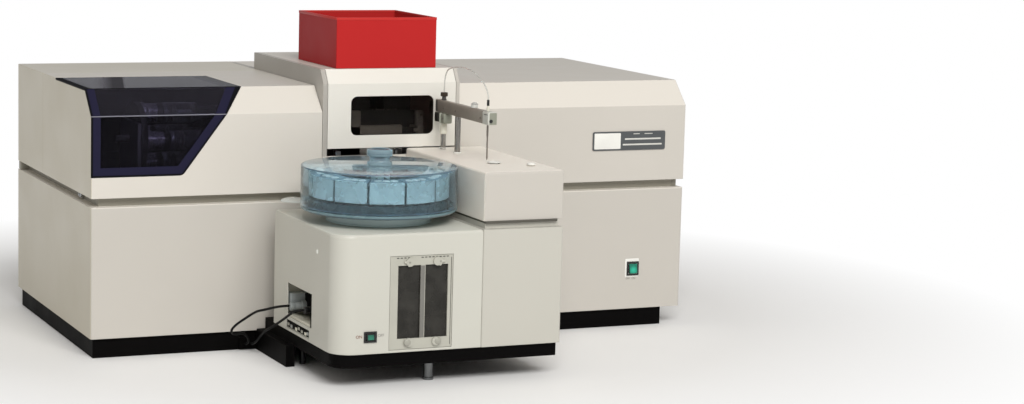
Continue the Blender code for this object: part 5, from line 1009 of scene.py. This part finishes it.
def make_chimney_parts():
    """A rolled rim with a painted highlight on the chimney's top and a dark grid in its throat."""
    low, high = span("fume_chimney")
    rim = Piece()
    wall = 2.4
    top = high.z
    left, right, front, back = low.x - 0.4, high.x + 0.4, low.y - 0.4, high.y + 0.4
    for first, second in (((left, front), (right, low.y + wall)),
            ((left, high.y - wall), (right, back)),
            ((left, low.y + wall), (low.x + wall, high.y - wall)),
            ((high.x - wall, low.y + wall), (right, high.y - wall))):
        rim.box((*first, top - 4.5), (*second, top - 0.05), 0.4)
    rim.make("chimney_rim", [RED_RIM], "chimney_body")
    grid = Piece()
    for axis, foot in ((0, 3), (1, 1.5)):
        for step in range(9):
            first, last = low + Vector((9, 9, foot)), high - Vector((9, 9, 0))
            middle = low[axis] + 12 + step * (high[axis] - low[axis] - 24) / 8
            first[axis], last[axis], last.z = middle - 0.8, middle + 0.8, first.z + 4
            grid.box(first, last, 0.3)
    grid.make("chimney_grid", [ZINC], "chimney_body")


# Front of the cabinet

def make_nameplate_face():
    front = span("nameplate")[0].y
    face = Piece()
    face.box((LEFT + 916, front - 0.4, 325.8), (LEFT + 968.5, front + 0.2, 354.2), 0.2, corner=1.2)
    face.box((LEFT + 970, front - 0.2, 325.8), (LEFT + 1056, front + 0.2, 354.2), 0.1, 1,
        corner=1.2)
    for left, right, low, high in ((993.9, 1006.1, 351.8, 353.1), (1016.3, 1032.6, 351.8, 353.1),
            (977, 1049.3, 341.8, 344.6), (973, 1051.7, 331.8, 334.6)):
        face.box((LEFT + left, front - 0.6, low), (LEFT + right, front - 0.1, high), 0.1, 2,
            corner=0.6)
    face.make("nameplate_face", [PALE_PLASTIC, PLATE_GREY, PRINT_LIGHT])


def make_switch_marks():
    border = Piece()
    border.box((LEFT + 986.8, FRONT - 0.4, 91.2), (LEFT + 1014.6, FRONT + 0.3, 124.6), 0.2,
        corner=1.5)
    border.lettering("OFF   ON", 4.6, (LEFT + 998.5, FRONT - 0.2, 88), 1)
    border.make("power_switch_border", [PALE_PLASTIC, PRINT_GREY])
    front = span("platform_housing")[0].y
    marks = Piece()
    marks.lettering("ON", 6.8, (LEFT + 339.2, front - 0.2, 84.6))
    marks.lettering("OFF", 6.2, (LEFT + 376.2, front - 0.2, 85.2), 1)
    marks.make("sampler_switch_marks", [PRINT_RED, PRINT_GREY])


def make_deck_latches():
    latches = Piece()
    for side, across in ((-1, DECK_LOW.x), (1, DECK_HIGH.x)):
        place = Vector((across, FRONT + 111.4, 259.5))
        latches.box(place + Vector((side * 0.1, -7, -4.5)), place + Vector((side * 7, 7, 4.5)), 1.2)
        latches.screw(place + Vector((side * 7, 0, 0)), (side, 0, 0), 2.4)
    latches.make("deck_latches", [ZINC, BLACK_PLASTIC])


# Back of the cabinet

def make_back_parts():
    face = span("rear_panel")[1].y
    back = Piece()
    for row in range(8):
        height = 102.6 + row * 12
        back.box((LEFT + 298, face - 0.2, height), (LEFT + 392, face + 2.1, height + 2.6), 0.9, 0,
            3)
    low, high = span("rear_panel")
    for across in (low.x + 12, low.x + 270, 0.0, high.x - 270, high.x - 12):
        for height in (low.z + 12, high.z - 12):
            back.screw((across, face, height), -OUTWARD, 3.4, 1, 2)
    back.make("rear_louvres", [CREAM, STEEL, BLACK_PLASTIC])

    inlet_low, inlet_high = span("mains_inlet")
    middle = (inlet_low + inlet_high) / 2
    pins = Piece()
    half = Vector((1, 8, 2))
    for across, height in ((0, 3.5), (-7, -3.5), (7, -3.5)):
        place = Vector((middle.x + across, inlet_low.y + 11.5, middle.z + height))
        pins.box(place - half, place + half, 0.3)
    for across in (-19.5, 19.5):
        pins.screw((middle.x + across, inlet_high.y - 1.4, middle.z), -OUTWARD, 2.6, 1, 2)
    pins.make("inlet_pins", [BRASS, STEEL, BLACK_PLASTIC])

    covers = Piece()
    for name in ("lamp_rear_cover", "mono_housing"):
        low, high = span(name)
        for across in (low.x + 14, (low.x + high.x) / 2, high.x - 14):
            for height in (281, 430):
                covers.screw((across, BACK - 2.3, height), -OUTWARD, 3.4)
    covers.make("rear_screws", [STEEL, BLACK_PLASTIC])


# Syringe bay

def make_bay_parts():
    low, high = span("bay_frame")
    front = low.y
    face = low.y + 4
    trim = Piece()
    for across in (421.9, 475):
        place = Vector((LEFT + across, face - 0.2, 200.5))
        trim.turned([(0, 3.6), (3, 3.6), (4.2, 2.8), (4.2, 0), (0, 0)], place, OUTWARD, 0, 28)
        for side in (-1, 1):
            trim.box(place + Vector((side * 2.5, -3.4, -1.8)),
                place + Vector((side * 8.5, -0.8, 1.8)), 0.9, corner=1.4)
        trim.box(place + Vector((-2, -3, -7.5)), place + Vector((2, -0.8, 0)), 0.8, corner=1.2)
        trim.screw(place + Vector((0, -3.6, 0)), OUTWARD, 1.6, 1, 2)
    for across in (420.6, 473):
        trim.turned([(0, 2.8), (4, 2.8), (5.5, 1.8), (6, 0.2), (0, 0.2)],
            (LEFT + across, front + 1.3, 71.6), OUTWARD, 1, 32)
    for left, right in ((401.3, 431.9), (443.1, 493.6)):
        steps = int((right - left) / 6.2)
        for step in range(steps):
            across = LEFT + left + 6.2 * step
            trim.box((across, face - 0.4, 206.6), (across + 3.8, face + 0.2, 208), 0.2, 2)
    trim.box((high.x - 3, face - 0.4, low.z + 4), (high.x - 2.2, face + 0.2, high.z - 4), 0.2, 2)
    trim.make("bay_trim", [WHITE_PLASTIC, GREY_PLASTIC, BLACK_PLASTIC])
    bar = Piece()
    bar.box((LEFT + 442.1, face - 0.6, 78.2), (LEFT + 449.4, face + 0.5, 194), 0.4)
    bar.make("bay_centre_bar", [BAR_GREY])


def make_syringes():
    low, high = span("syringe_block")
    across = [middle_of("syringe_plunger_%d" % number).x for number in (1, 2)]
    depth = (low.y + high.y) / 2
    body = Piece()
    head_bottom = high.z - 22
    body.box((low.x, low.y, head_bottom), (high.x, high.y, high.z), 1.5)
    for place in across:
        body.turned([(7, 0.0), (7, 60), (5, 60), (5, 0.0)], (place, depth, head_bottom - 60),
            index=1, steps=40)
        for outer, low_end, high_end in ((9.2, -6.5, 0), (8.8, -60, -56)):
            body.ring(7.1, outer, low_end, high_end, (place, depth, head_bottom), index=2, edge=0.6,
                steps=32)
        for mark in range(12):
            height = head_bottom - 52 + mark * 3.8
            sweep = math.radians(80 if mark % 5 == 0 else 45)
            body.sector(7.02, 7.12, height, height + 0.4, -math.pi / 2 - sweep / 2, sweep,
                (place, depth, 0), 3, 6)
    body.make("syringe_head", [CREAM_PLASTIC, SYRINGE_GLASS, ZINC, BLACK_PLASTIC], ROOT,
        "syringe_block")
    for number, place in enumerate(across, 1):
        low, high = span("syringe_plunger_%d" % number)
        plunger = Piece()
        height = high.z - low.z
        plunger.turned([(0, 0), (8, 0), (8.5, 0.6), (8.5, 4.4), (8, 5), (2.2, 5),
            (2.2, height - 10), (0, height - 10)], (place, depth, low.z), steps=36)
        plunger.turned([(0, height - 10.5), (4.6, height - 10.5), (4.7, height - 10),
            (4.2, height - 8.5), (4.7, height - 7), (4.2, height - 5.5), (4.7, height - 4),
            (4.7, height - 1), (3, height), (0, height)], (place, depth, low.z), index=1, steps=36)
        plunger.fluted(6.2, 0.4, 24, 0.2, 4.8, (place, depth, low.z))
        plunger.make("plunger_%d" % number, [STEEL, BLACK_PLASTIC], "plunger_%d_body" % number,
            "syringe_plunger_%d" % number)


# Side of the sampler

def make_socket_parts():
    """A recess behind the side opening with its sockets, and the socket strip below it."""
    side = span("platform_housing")[0].x
    skin = side + 2.8
    deep = side + 45
    ahead, behind = FRONT - 226.5, FRONT - 106.5
    low, high = 78.4, 137.2
    recess = Piece()
    recess.box((deep, ahead, low), (deep + 1.5, behind, high), 0.3, 1)
    recess.box((skin, behind, low), (deep, behind + 1.5, high), 0.3, 3)
    recess.box((skin, ahead - 1.5, low), (deep, ahead, high), 0.3, 1)
    recess.box((skin, ahead, high), (deep, behind, high + 1.5), 0.3, 3)
    recess.box((skin, ahead, low - 1.5), (deep, behind, low), 0.3, 3)
    recess.box((skin, ahead + 1, low), (skin + 15, behind - 1, low + 4.5), 1, 3)
    recess.box((deep - 40, behind - 19, 88), (deep, behind - 0.4, 117.5), 1.2, 2)
    recess.box((deep - 16, behind - 60, 86), (deep, behind - 20, 118), 1.5, 1)
    for out, height in ((8, 113), (8, 101)):
        recess.ring(2.4, 4.8, 0, 3, (deep - 24 + 0.5 * out, behind - 15, height), OUTWARD, 3, 0.5,
            28)
        recess.rod(2.3, (deep - 24 + 0.5 * out, behind - 14.8, height),
            (deep - 24 + 0.5 * out, behind - 16.2, height), 1, 0.3, 16)
    recess.box((deep - 12, behind - 17, 86), (deep - 1, behind - 1, 93.5), 0.8, 3)
    strip_front, strip_back = FRONT - 228.5, FRONT - 119.5
    recess.box((side + 1.2, strip_front, 61.2), (skin + 1.5, strip_back, 73.8), 0.4, 1)
    recess.box((side + 0.4, strip_front, 61.2), (side + 1.4, strip_back, 62.6), 0.3, 4)
    for out, height, finish in ((-128, 67.2, 4), (-142, 66, 0), (-165.5, 65.5, 3), (-178, 68.5, 4),
            (-193, 66.5, 4), (-209.9, 66, 3), (-220, 68, 0)):
        recess.box((side + 0.3, FRONT + out - 4.2, height - 2.4),
            (side + 1.6, FRONT + out + 4.2, height + 2.4), 0.4, finish, corner=1, axis=0)
    recess.make("socket_recess", [RECESS_WALL, BLACK, BLUE_GREY, CREAM_PLASTIC, GREY_PLASTIC], ROOT,
        "socket_panel")
    glands = Piece()
    for out, height, finish in ((131, 98, 1), (200, 103.1, 0)):
        place = (side + 0.2, FRONT - out, height)
        glands.turned([(2.2, 0), (5, 0), (5.8, 1), (5.8, 8), (5.2, 9), (5.8, 10), (5.2, 11),
            (5.8, 12), (5.8, 20), (7.5, 20.5), (7.5, 43), (2.2, 43)],
            (place[0] + 1.4, place[1], place[2]), RIGHT, finish, 28)
    glands.make("cable_glands", [BLACK_PLASTIC, BLUE_GREY])
    plug = Piece()
    place = Vector((side, FRONT - 262.2, 209.1))
    plug.turned([(0, 1.5), (2.4, 1.5), (3.6, 0.8), (4, 0.1), (0, 0.1)], place, -RIGHT, 0, 28)
    plug.make("side_plug", [PALE_PLASTIC])


def make_leg_parts():
    for name, finish in (("front_leg", LEG_STEEL), ("left_leg", DARK_LEG)):
        low, high = span(name)
        radius = (high.x - low.x) / 2
        waist = radius * 0.92
        leg = Piece()
        leg.turned([(0, 0), (radius, 0), (radius, 4), (waist, 5), (waist, high.z - 6),
            (radius, high.z - 5), (radius, high.z), (0, high.z)], above(middle_of(name), 0))
        leg.make(name + "_turned", [finish], ROOT, name)


# Carousel

RACK_SECTORS = 12
RACK_SWEEP = math.radians(28)


def face_place(face):
    """A face's distance from the drum's axis, and its height."""
    place = face.calc_center_median()
    return (place - above(DRUM, place.z)).length, place.z


def make_dish():
    centre = above(DRUM, 0)
    dish = Piece()
    # Its foot carries the painted light that lifts the shade under the drum.
    dish.turned([(60, 247.4), (84.5, 247.4), (86, 248), (86, 250), (84.5, 251), (84.5, 262.5),
        (88, 264.5), (60, 264.5)], centre, index=1, steps=96)
    dish.turned([(8, 264.7), (122.5, 264.7), (125, 265.6), (127.2, 267.6), (127.8, 268.8),
        (127.8, 270.3), (127, 271.3), (126.2, 271.5), (123.2, 271.5), (122.8, 271.1),
        (122.8, 269.3), (8, 269.3)], centre, steps=128)
    for face in dish.bm.faces:
        reach, height = face_place(face)
        if reach > 122.5 and height < 268:
            face.material_index = 4
    dish.rod(7.9, above(DRUM, 260), above(DRUM, 299.2), 3, 0.8, 32)
    turn = Matrix.Rotation(math.radians(137), 3, "Z")
    tab = block((50, 37.6, 4.2))
    bevel(tab, edges_along(tab, 2), 8, 6)
    bevel(tab, sharp_edges(tab), 0.6)
    dish.take(tab, 2, turn, above(DRUM, 269.5) + turn @ RIGHT * 142.8)
    dish.make("carousel_dish", [BLUE_DISH, FOOT_PAINTED_LIGHT, DISH_WHITE, STEEL, BLUE_EDGE], ROOT,
        "carousel_base")


def make_drum():
    low, high = span("carousel_cover")
    outer = (high.x - low.x) / 2
    centre = above(DRUM, 0)
    bottom, top = low.z, high.z
    cover = Piece()
    cover.turned([(0, top), (outer - 2.2, top), (outer - 1, top - 0.3), (outer - 0.3, top - 1),
        (outer, top - 2.2), (outer, bottom), (outer - 2.4, bottom), (outer - 2.4, top - 2.8),
        (outer - 3.4, top - 2.4), (0, top - 2.4)], centre, steps=128)
    for face in cover.bm.faces:
        reach, height = face_place(face)
        if reach > outer - 2.1 and height > top - 2.1:
            face.material_index = 1
        elif reach > outer - 2.8 and height < top - 2.1:
            face.material_index = 2
    cover.make("drum_cover", [BLUE_CLEAR, BLUE_EDGE, BLUE_SIDE], "drum_cover_body",
        "carousel_cover")
    band = Piece()
    band.ring(outer - 5, outer - 2.6, bottom + 1, bottom + 3, centre, steps=128)
    band.make("drum_band", [BLUE_EDGE], "drum_cover_body")


def make_drum_knob():
    foot = above(DRUM, span("cover_knob")[0].z)
    knob = Piece()
    knob.turned([(0, 0), (20, 0), (20.5, 0.8), (20.5, 5.2), (19.8, 6), (17.2, 6.4), (16.5, 7.8),
        (17.8, 9), (16.5, 10.2), (17.8, 11.4), (16.5, 12.6), (17.6, 13.8), (17.2, 15), (20.6, 15.4),
        (21.5, 16.6), (21.5, 23.6), (20.8, 25.2), (19, 26.4), (16, 27), (15, 26.2), (0, 26.2)],
        foot, steps=96)
    knob.ring(21, 21.5, 19.2, 20, foot, index=1, steps=96)
    knob.make("drum_knob", [BLUE_KNOB, BLUE_EDGE], "drum_cover_body", "cover_knob")


def make_rack():
    low, high = span("sample_tray")
    centre = above(DRUM, 0)
    outer = (high.x - low.x) / 2
    pitch = FULL_TURN / RACK_SECTORS
    rack = Piece()
    rack.turned([(8.3, 270.2), (outer - 1.2, 270.2), (outer, 271.4), (outer, 283.8),
        (outer - 1.2, 285), (8.3, 285)], centre, steps=96)
    rack.ring(8.3, 22, 285.1, 324.2, centre, index=1, edge=1.2)
    rack.ring(9, 12, 324, 325, centre, index=3, edge=0.3)
    for number in range(RACK_SECTORS):
        angle = pitch * number
        start = angle + (pitch - RACK_SWEEP) / 2
        rack.sector(outer - 2.4, outer - 0.8, 289, 323, start, RACK_SWEEP, centre, 1)
        rack.sector(76, outer - 2.6, 320.6, 322.6, start, RACK_SWEEP, centre, 2)
        rack.sector(76, 77.6, 289, 320.4, start, RACK_SWEEP, centre, 1, 6)
        turn = Matrix.Rotation(angle, 3, "Z")
        rack.take(block((outer - 24.8, 1.6, 31.6)), 0, turn, centre + turn @ Vector((67.7, 0, 301)))
        for cup in range(3):
            place = centre + Matrix.Rotation(angle + pitch * (cup + 1) / 4, 3, "Z") @ RIGHT * 98
            rack.turned([(0, 286.5), (3, 286.5), (5.2, 293), (5.5, 320), (5.5, 322.8), (0, 322.8)],
                place, index=3, steps=16)
            rack.turned([(0, 324.4), (4.4, 324.4), (6, 324), (6.2, 322.9), (0, 322.9)], place,
                index=4, steps=20)
    rack.make("sample_rack", [BLUE_DISC, BLUE_WALL, BLUE_PLATE, CLEAR_PLASTIC, PALE_PLASTIC],
        "tray_body", "sample_tray")


# Tower top, lift column and arm

def make_tower_top():
    brim = span("wash_cup")[1].z
    centre = above(middle_of("wash_cup"), 0)
    top = span("tower_head")[1].z
    wash = Piece()
    wash.turned([(5.8, brim - 18), (5.8, brim + 0.2), (7, brim + 0.8), (10.5, brim + 0.8),
        (11.8, brim), (11.8, top + 0.1), (7.2, top + 0.1), (7.2, brim - 18)], centre, steps=64)
    wash.turned([(0, brim - 19), (7.2, brim - 19), (7.2, brim - 17.8), (0, brim - 17.8)], centre)
    wash.make("wash_ring", [PALE_PLASTIC], ROOT, "wash_cup")
    port = Piece()
    place = at(663.9, 275, top + 0.2)
    port.turned([(3.4, 0), (7, 0), (7.2, 1.6), (6.4, 3), (4.4, 3.2), (3.4, 2.4)], place, steps=56)
    port.turned([(0, 0.4), (3.3, 0.4), (3.3, 0.1), (0, 0.1)], place, index=1, steps=32)
    port.make("tower_port", [PALE_PLASTIC, BLACK_PLASTIC])


def make_column_parts():
    top = span("tower_head")[1].z
    gland = Piece()
    gland.ring(4.8, 6.6, 0, 1, above(COLUMN, top + 0.2), edge=0.3)
    gland.make("column_gland", [PALE_PLASTIC])
    low, high = span("column_collar")
    collar = Piece()
    height = high.z - low.z
    collar.turned([(4.8, 0), (5.6, 0), (6.2, 0.8), (6.2, 5), (5.8, 5.6), (6.2, 6.2),
        (6.2, height - 1.2), (5.6, height), (4.8, height)], above(COLUMN, low.z))
    collar.make("collar_turned", [CREAM_PLASTIC], "lift_body", "column_collar")
    low, high = span("park_post")
    foot = above(middle_of("park_post"), low.z)
    post = Piece()
    height = high.z - low.z
    post.turned([(0, 0), (7, 0), (7.4, 0.3), (7.4, 1.6), (6.8, 2.2), (0, 2.2)], foot, index=1)
    post.turned([(0, 2.3), (5, 2.3), (5, height - 3), (4.6, height - 2), (4.6, height - 0.4),
        (4.2, height), (0, height)], foot)
    post.make("post_turned", [STEEL, PALE_PLASTIC], ROOT, "park_post")


def make_arm_parts():
    low, high = span("sampler_arm")
    arm = Piece()
    arm.box(low, high, 1.2, 0, 3)
    arm.make("arm_beam", [ARM], "arm_body", "sampler_arm")
    trim = Piece()
    trim.box((low.x - 0.4, high.y - 8, low.z + 1.2), (low.x + 0.2, high.y - 1.2, high.z - 1.2), 0.2)
    for along in (-300, -350, -455):
        trim.screw((low.x - 0.3, along, (low.z + high.z) / 2 - 2), -RIGHT, 1.6, 1, 0)
    trim.make("arm_trim", [ARM_DARK, STEEL], "arm_body")

    low, high = span("arm_clamp")
    clamp = Piece()
    clamp.box((low.x, COLUMN.y - 19, low.z), (high.x, COLUMN.y - 5.2, high.z), 2.2, 0, 3)
    clamp.turned([(4.9, 0), (7, 0), (7.8, 1), (7.8, 15.5), (7, 16.8), (4.9, 16.8)],
        above(COLUMN, low.z), index=1, steps=56)
    clamp.box((COLUMN.x - 5, COLUMN.y + 5.2, low.z + 2), (COLUMN.x + 5, high.y, high.z - 1), 1.2)
    clamp.screw((COLUMN.x - 7.8, COLUMN.y - 15, (low.z + high.z) / 2), -RIGHT, 2.4, 2, 0)
    clamp.rod(1.8, (COLUMN.x - 4.6, high.y - 5, (low.z + high.z) / 2),
        (COLUMN.x - 6.6, high.y - 5, (low.z + high.z) / 2), 2, 0.3, 16)
    clamp.box((low.x - 0.4, COLUMN.y + 6.2, low.z + 1), (low.x + 4, high.y - 5, high.z - 0.4), 0.8,
        3)
    clamp.make("clamp_body", [GREEN_GREY, GREEN_WHITE, STEEL, CLAMP_DARK], "arm_body", "arm_clamp")

    low, high = span("needle_clip")
    clip = Piece()
    clip.box((low.x, NEEDLE.y + 1.6, low.z), (high.x, high.y, high.z), 2, 0, 3)
    clip.box((low.x, low.y, low.z), (high.x, NEEDLE.y - 1.6, high.z), 2, 0, 3)
    for side in (-1, 1):
        clip.box((COLUMN.x + side * 1.6, NEEDLE.y - 3, low.z + 1),
            (COLUMN.x + side * 8, NEEDLE.y + 3, high.z - 1), 0.8)
    clip.box((low.x - 0.2, low.y + 3, high.z - 5), (low.x + 0.4, high.y - 5, high.z - 4), 0.1, 1)
    clip.turned([(0, 1.3), (2.6, 1.3), (3, 1), (3, 0), (0, 0)],
        (low.x + 4.8, low.y - 0.3, low.z + 6.8), OUTWARD, 1, 28)
    clip.box((low.x + 2.2, low.y - 0.3, low.z + 1), (high.x - 0.6, low.y + 0.4, high.z - 1), 0.3, 2,
        corner=1.2)
    clip.make("clip_block", [CLIP_WHITE, BLACK_PLASTIC, GREEN_GREY], "arm_body", "needle_clip")

    low, high = span("sample_needle")
    needle = Piece()
    base = low.z
    clip_low, clip_top = (corner.z for corner in span("needle_clip"))
    place = above(NEEDLE, 0)
    needle.turned([(0, base), (0.5, base), (1.2, base + 3), (1.2, clip_low - 22),
        (1.7, clip_low - 19), (1.7, clip_low - 4), (1.3, clip_low - 2), (1.3, clip_top + 0.2),
        (0, clip_top + 0.2)], place, steps=24)
    middle = clip_top + 0.3 + (high.z - clip_top) * 0.45
    needle.turned([(0, clip_top + 0.2), (2.1, clip_top + 0.2), (2.2, clip_top + 0.8), (2.2, middle),
        (0, middle)], place, index=2, steps=28)
    needle.turned([(0, middle), (1.9, middle), (2.2, middle + 0.6), (2.2, high.z - 0.8),
        (1.5, high.z), (0, high.z)], place, index=1, steps=28)
    needle.make("needle_turned", [NEEDLE_STEEL, BLACK_PLASTIC, CREAM_PLASTIC], "arm_body",
        "sample_needle")


def make_nut_parts():
    low, high = span("thumb_nut")
    thumb = Piece()
    place = above(middle_of("thumb_nut"), low.z)
    height = high.z - low.z
    thumb.turned([(0, 0), (4.4, 0), (4.6, 0.4), (4.6, 1.6), (3.6, 2), (3.6, 5.6), (4.2, 6.4),
        (0, 6.4)], place, index=1, steps=40)
    thumb.fluted(6.2, 0.4, 26, 6.4, height, place, 0, 0.5)
    thumb.make("thumb_nut_knurled", [BRONZE, ARM_DARK], "thumb_nut_body", "thumb_nut")
    low, high = span("needle_height_nut")
    nut = Piece()
    place = above(middle_of("needle_height_nut"), low.z)
    height = high.z - low.z
    nut.fluted(6, 0.3, 20, 0, height - 2.2, place, 0, 0.4)
    nut.turned([(0, height), (3, height), (3.8, height - 0.8), (4, height - 2.2),
        (0, height - 2.2)], place, steps=36)
    nut.ring(5.8, 6, height - 3, height - 2.4, place, index=1, steps=40)
    nut.make("height_nut_knurled", [CLEAR_NUT, BLACK_PLASTIC], "height_nut_body",
        "needle_height_nut")


def make_groove_rail():
    """The rail that closes the groove along the cabinet's back."""
    rail = Piece()
    rail.box((LEFT + 1, DECK_HIGH.y + 0.4, DECK_LOW.z + 0.2),
        (-LEFT - 1, BACK - 1.2, DECK_HIGH.z - 0.2), 1)
    rail.box((DECK_HIGH.x + 0.2, DECK_LOW.y, DECK_LOW.z + 0.2),
        (DECK_HIGH.x + 10, DECK_HIGH.y + 0.2, DECK_HIGH.z - 0.2), 1)
    rail.make("groove_rail", [DECK])


def make_sampler_trim():
    """Painted shade in the gap under the tower's head, and screws on the tower's right side."""
    low, high = span("tower_housing")
    gap_shade_strip = Piece()
    gap_shade_strip.box((low.x + 6.8, low.y + 6.8, high.z - 3.4), (high.x - 6.8, high.y - 1, high.z + 0.1),
        0.3, corner=2, axis=2)
    gap_shade_strip.make("tower_gap_shade", [GAP_SHADE_DARK])
    trim = Piece()
    for height in (90, 220):
        for out in (60, 300):
            trim.screw((high.x, FRONT - out, height), RIGHT, 2.8)
    trim.make("tower_screws", [STEEL, BLACK_PLASTIC])


make_rounded_housings()
make_lamps()
make_turret_parts()
make_lamp_box_lining()
make_lid_trim()
make_furnace_parts()
make_slot_fittings()
make_chimney_parts()
make_nameplate_face()
make_switch_marks()
make_deck_latches()
make_back_parts()
make_bay_parts()
make_syringes()
make_socket_parts()
make_leg_parts()
make_dish()
make_drum()
make_drum_knob()
make_rack()
make_tower_top()
make_column_parts()
make_arm_parts()
make_nut_parts()
make_groove_rail()
make_sampler_trim()
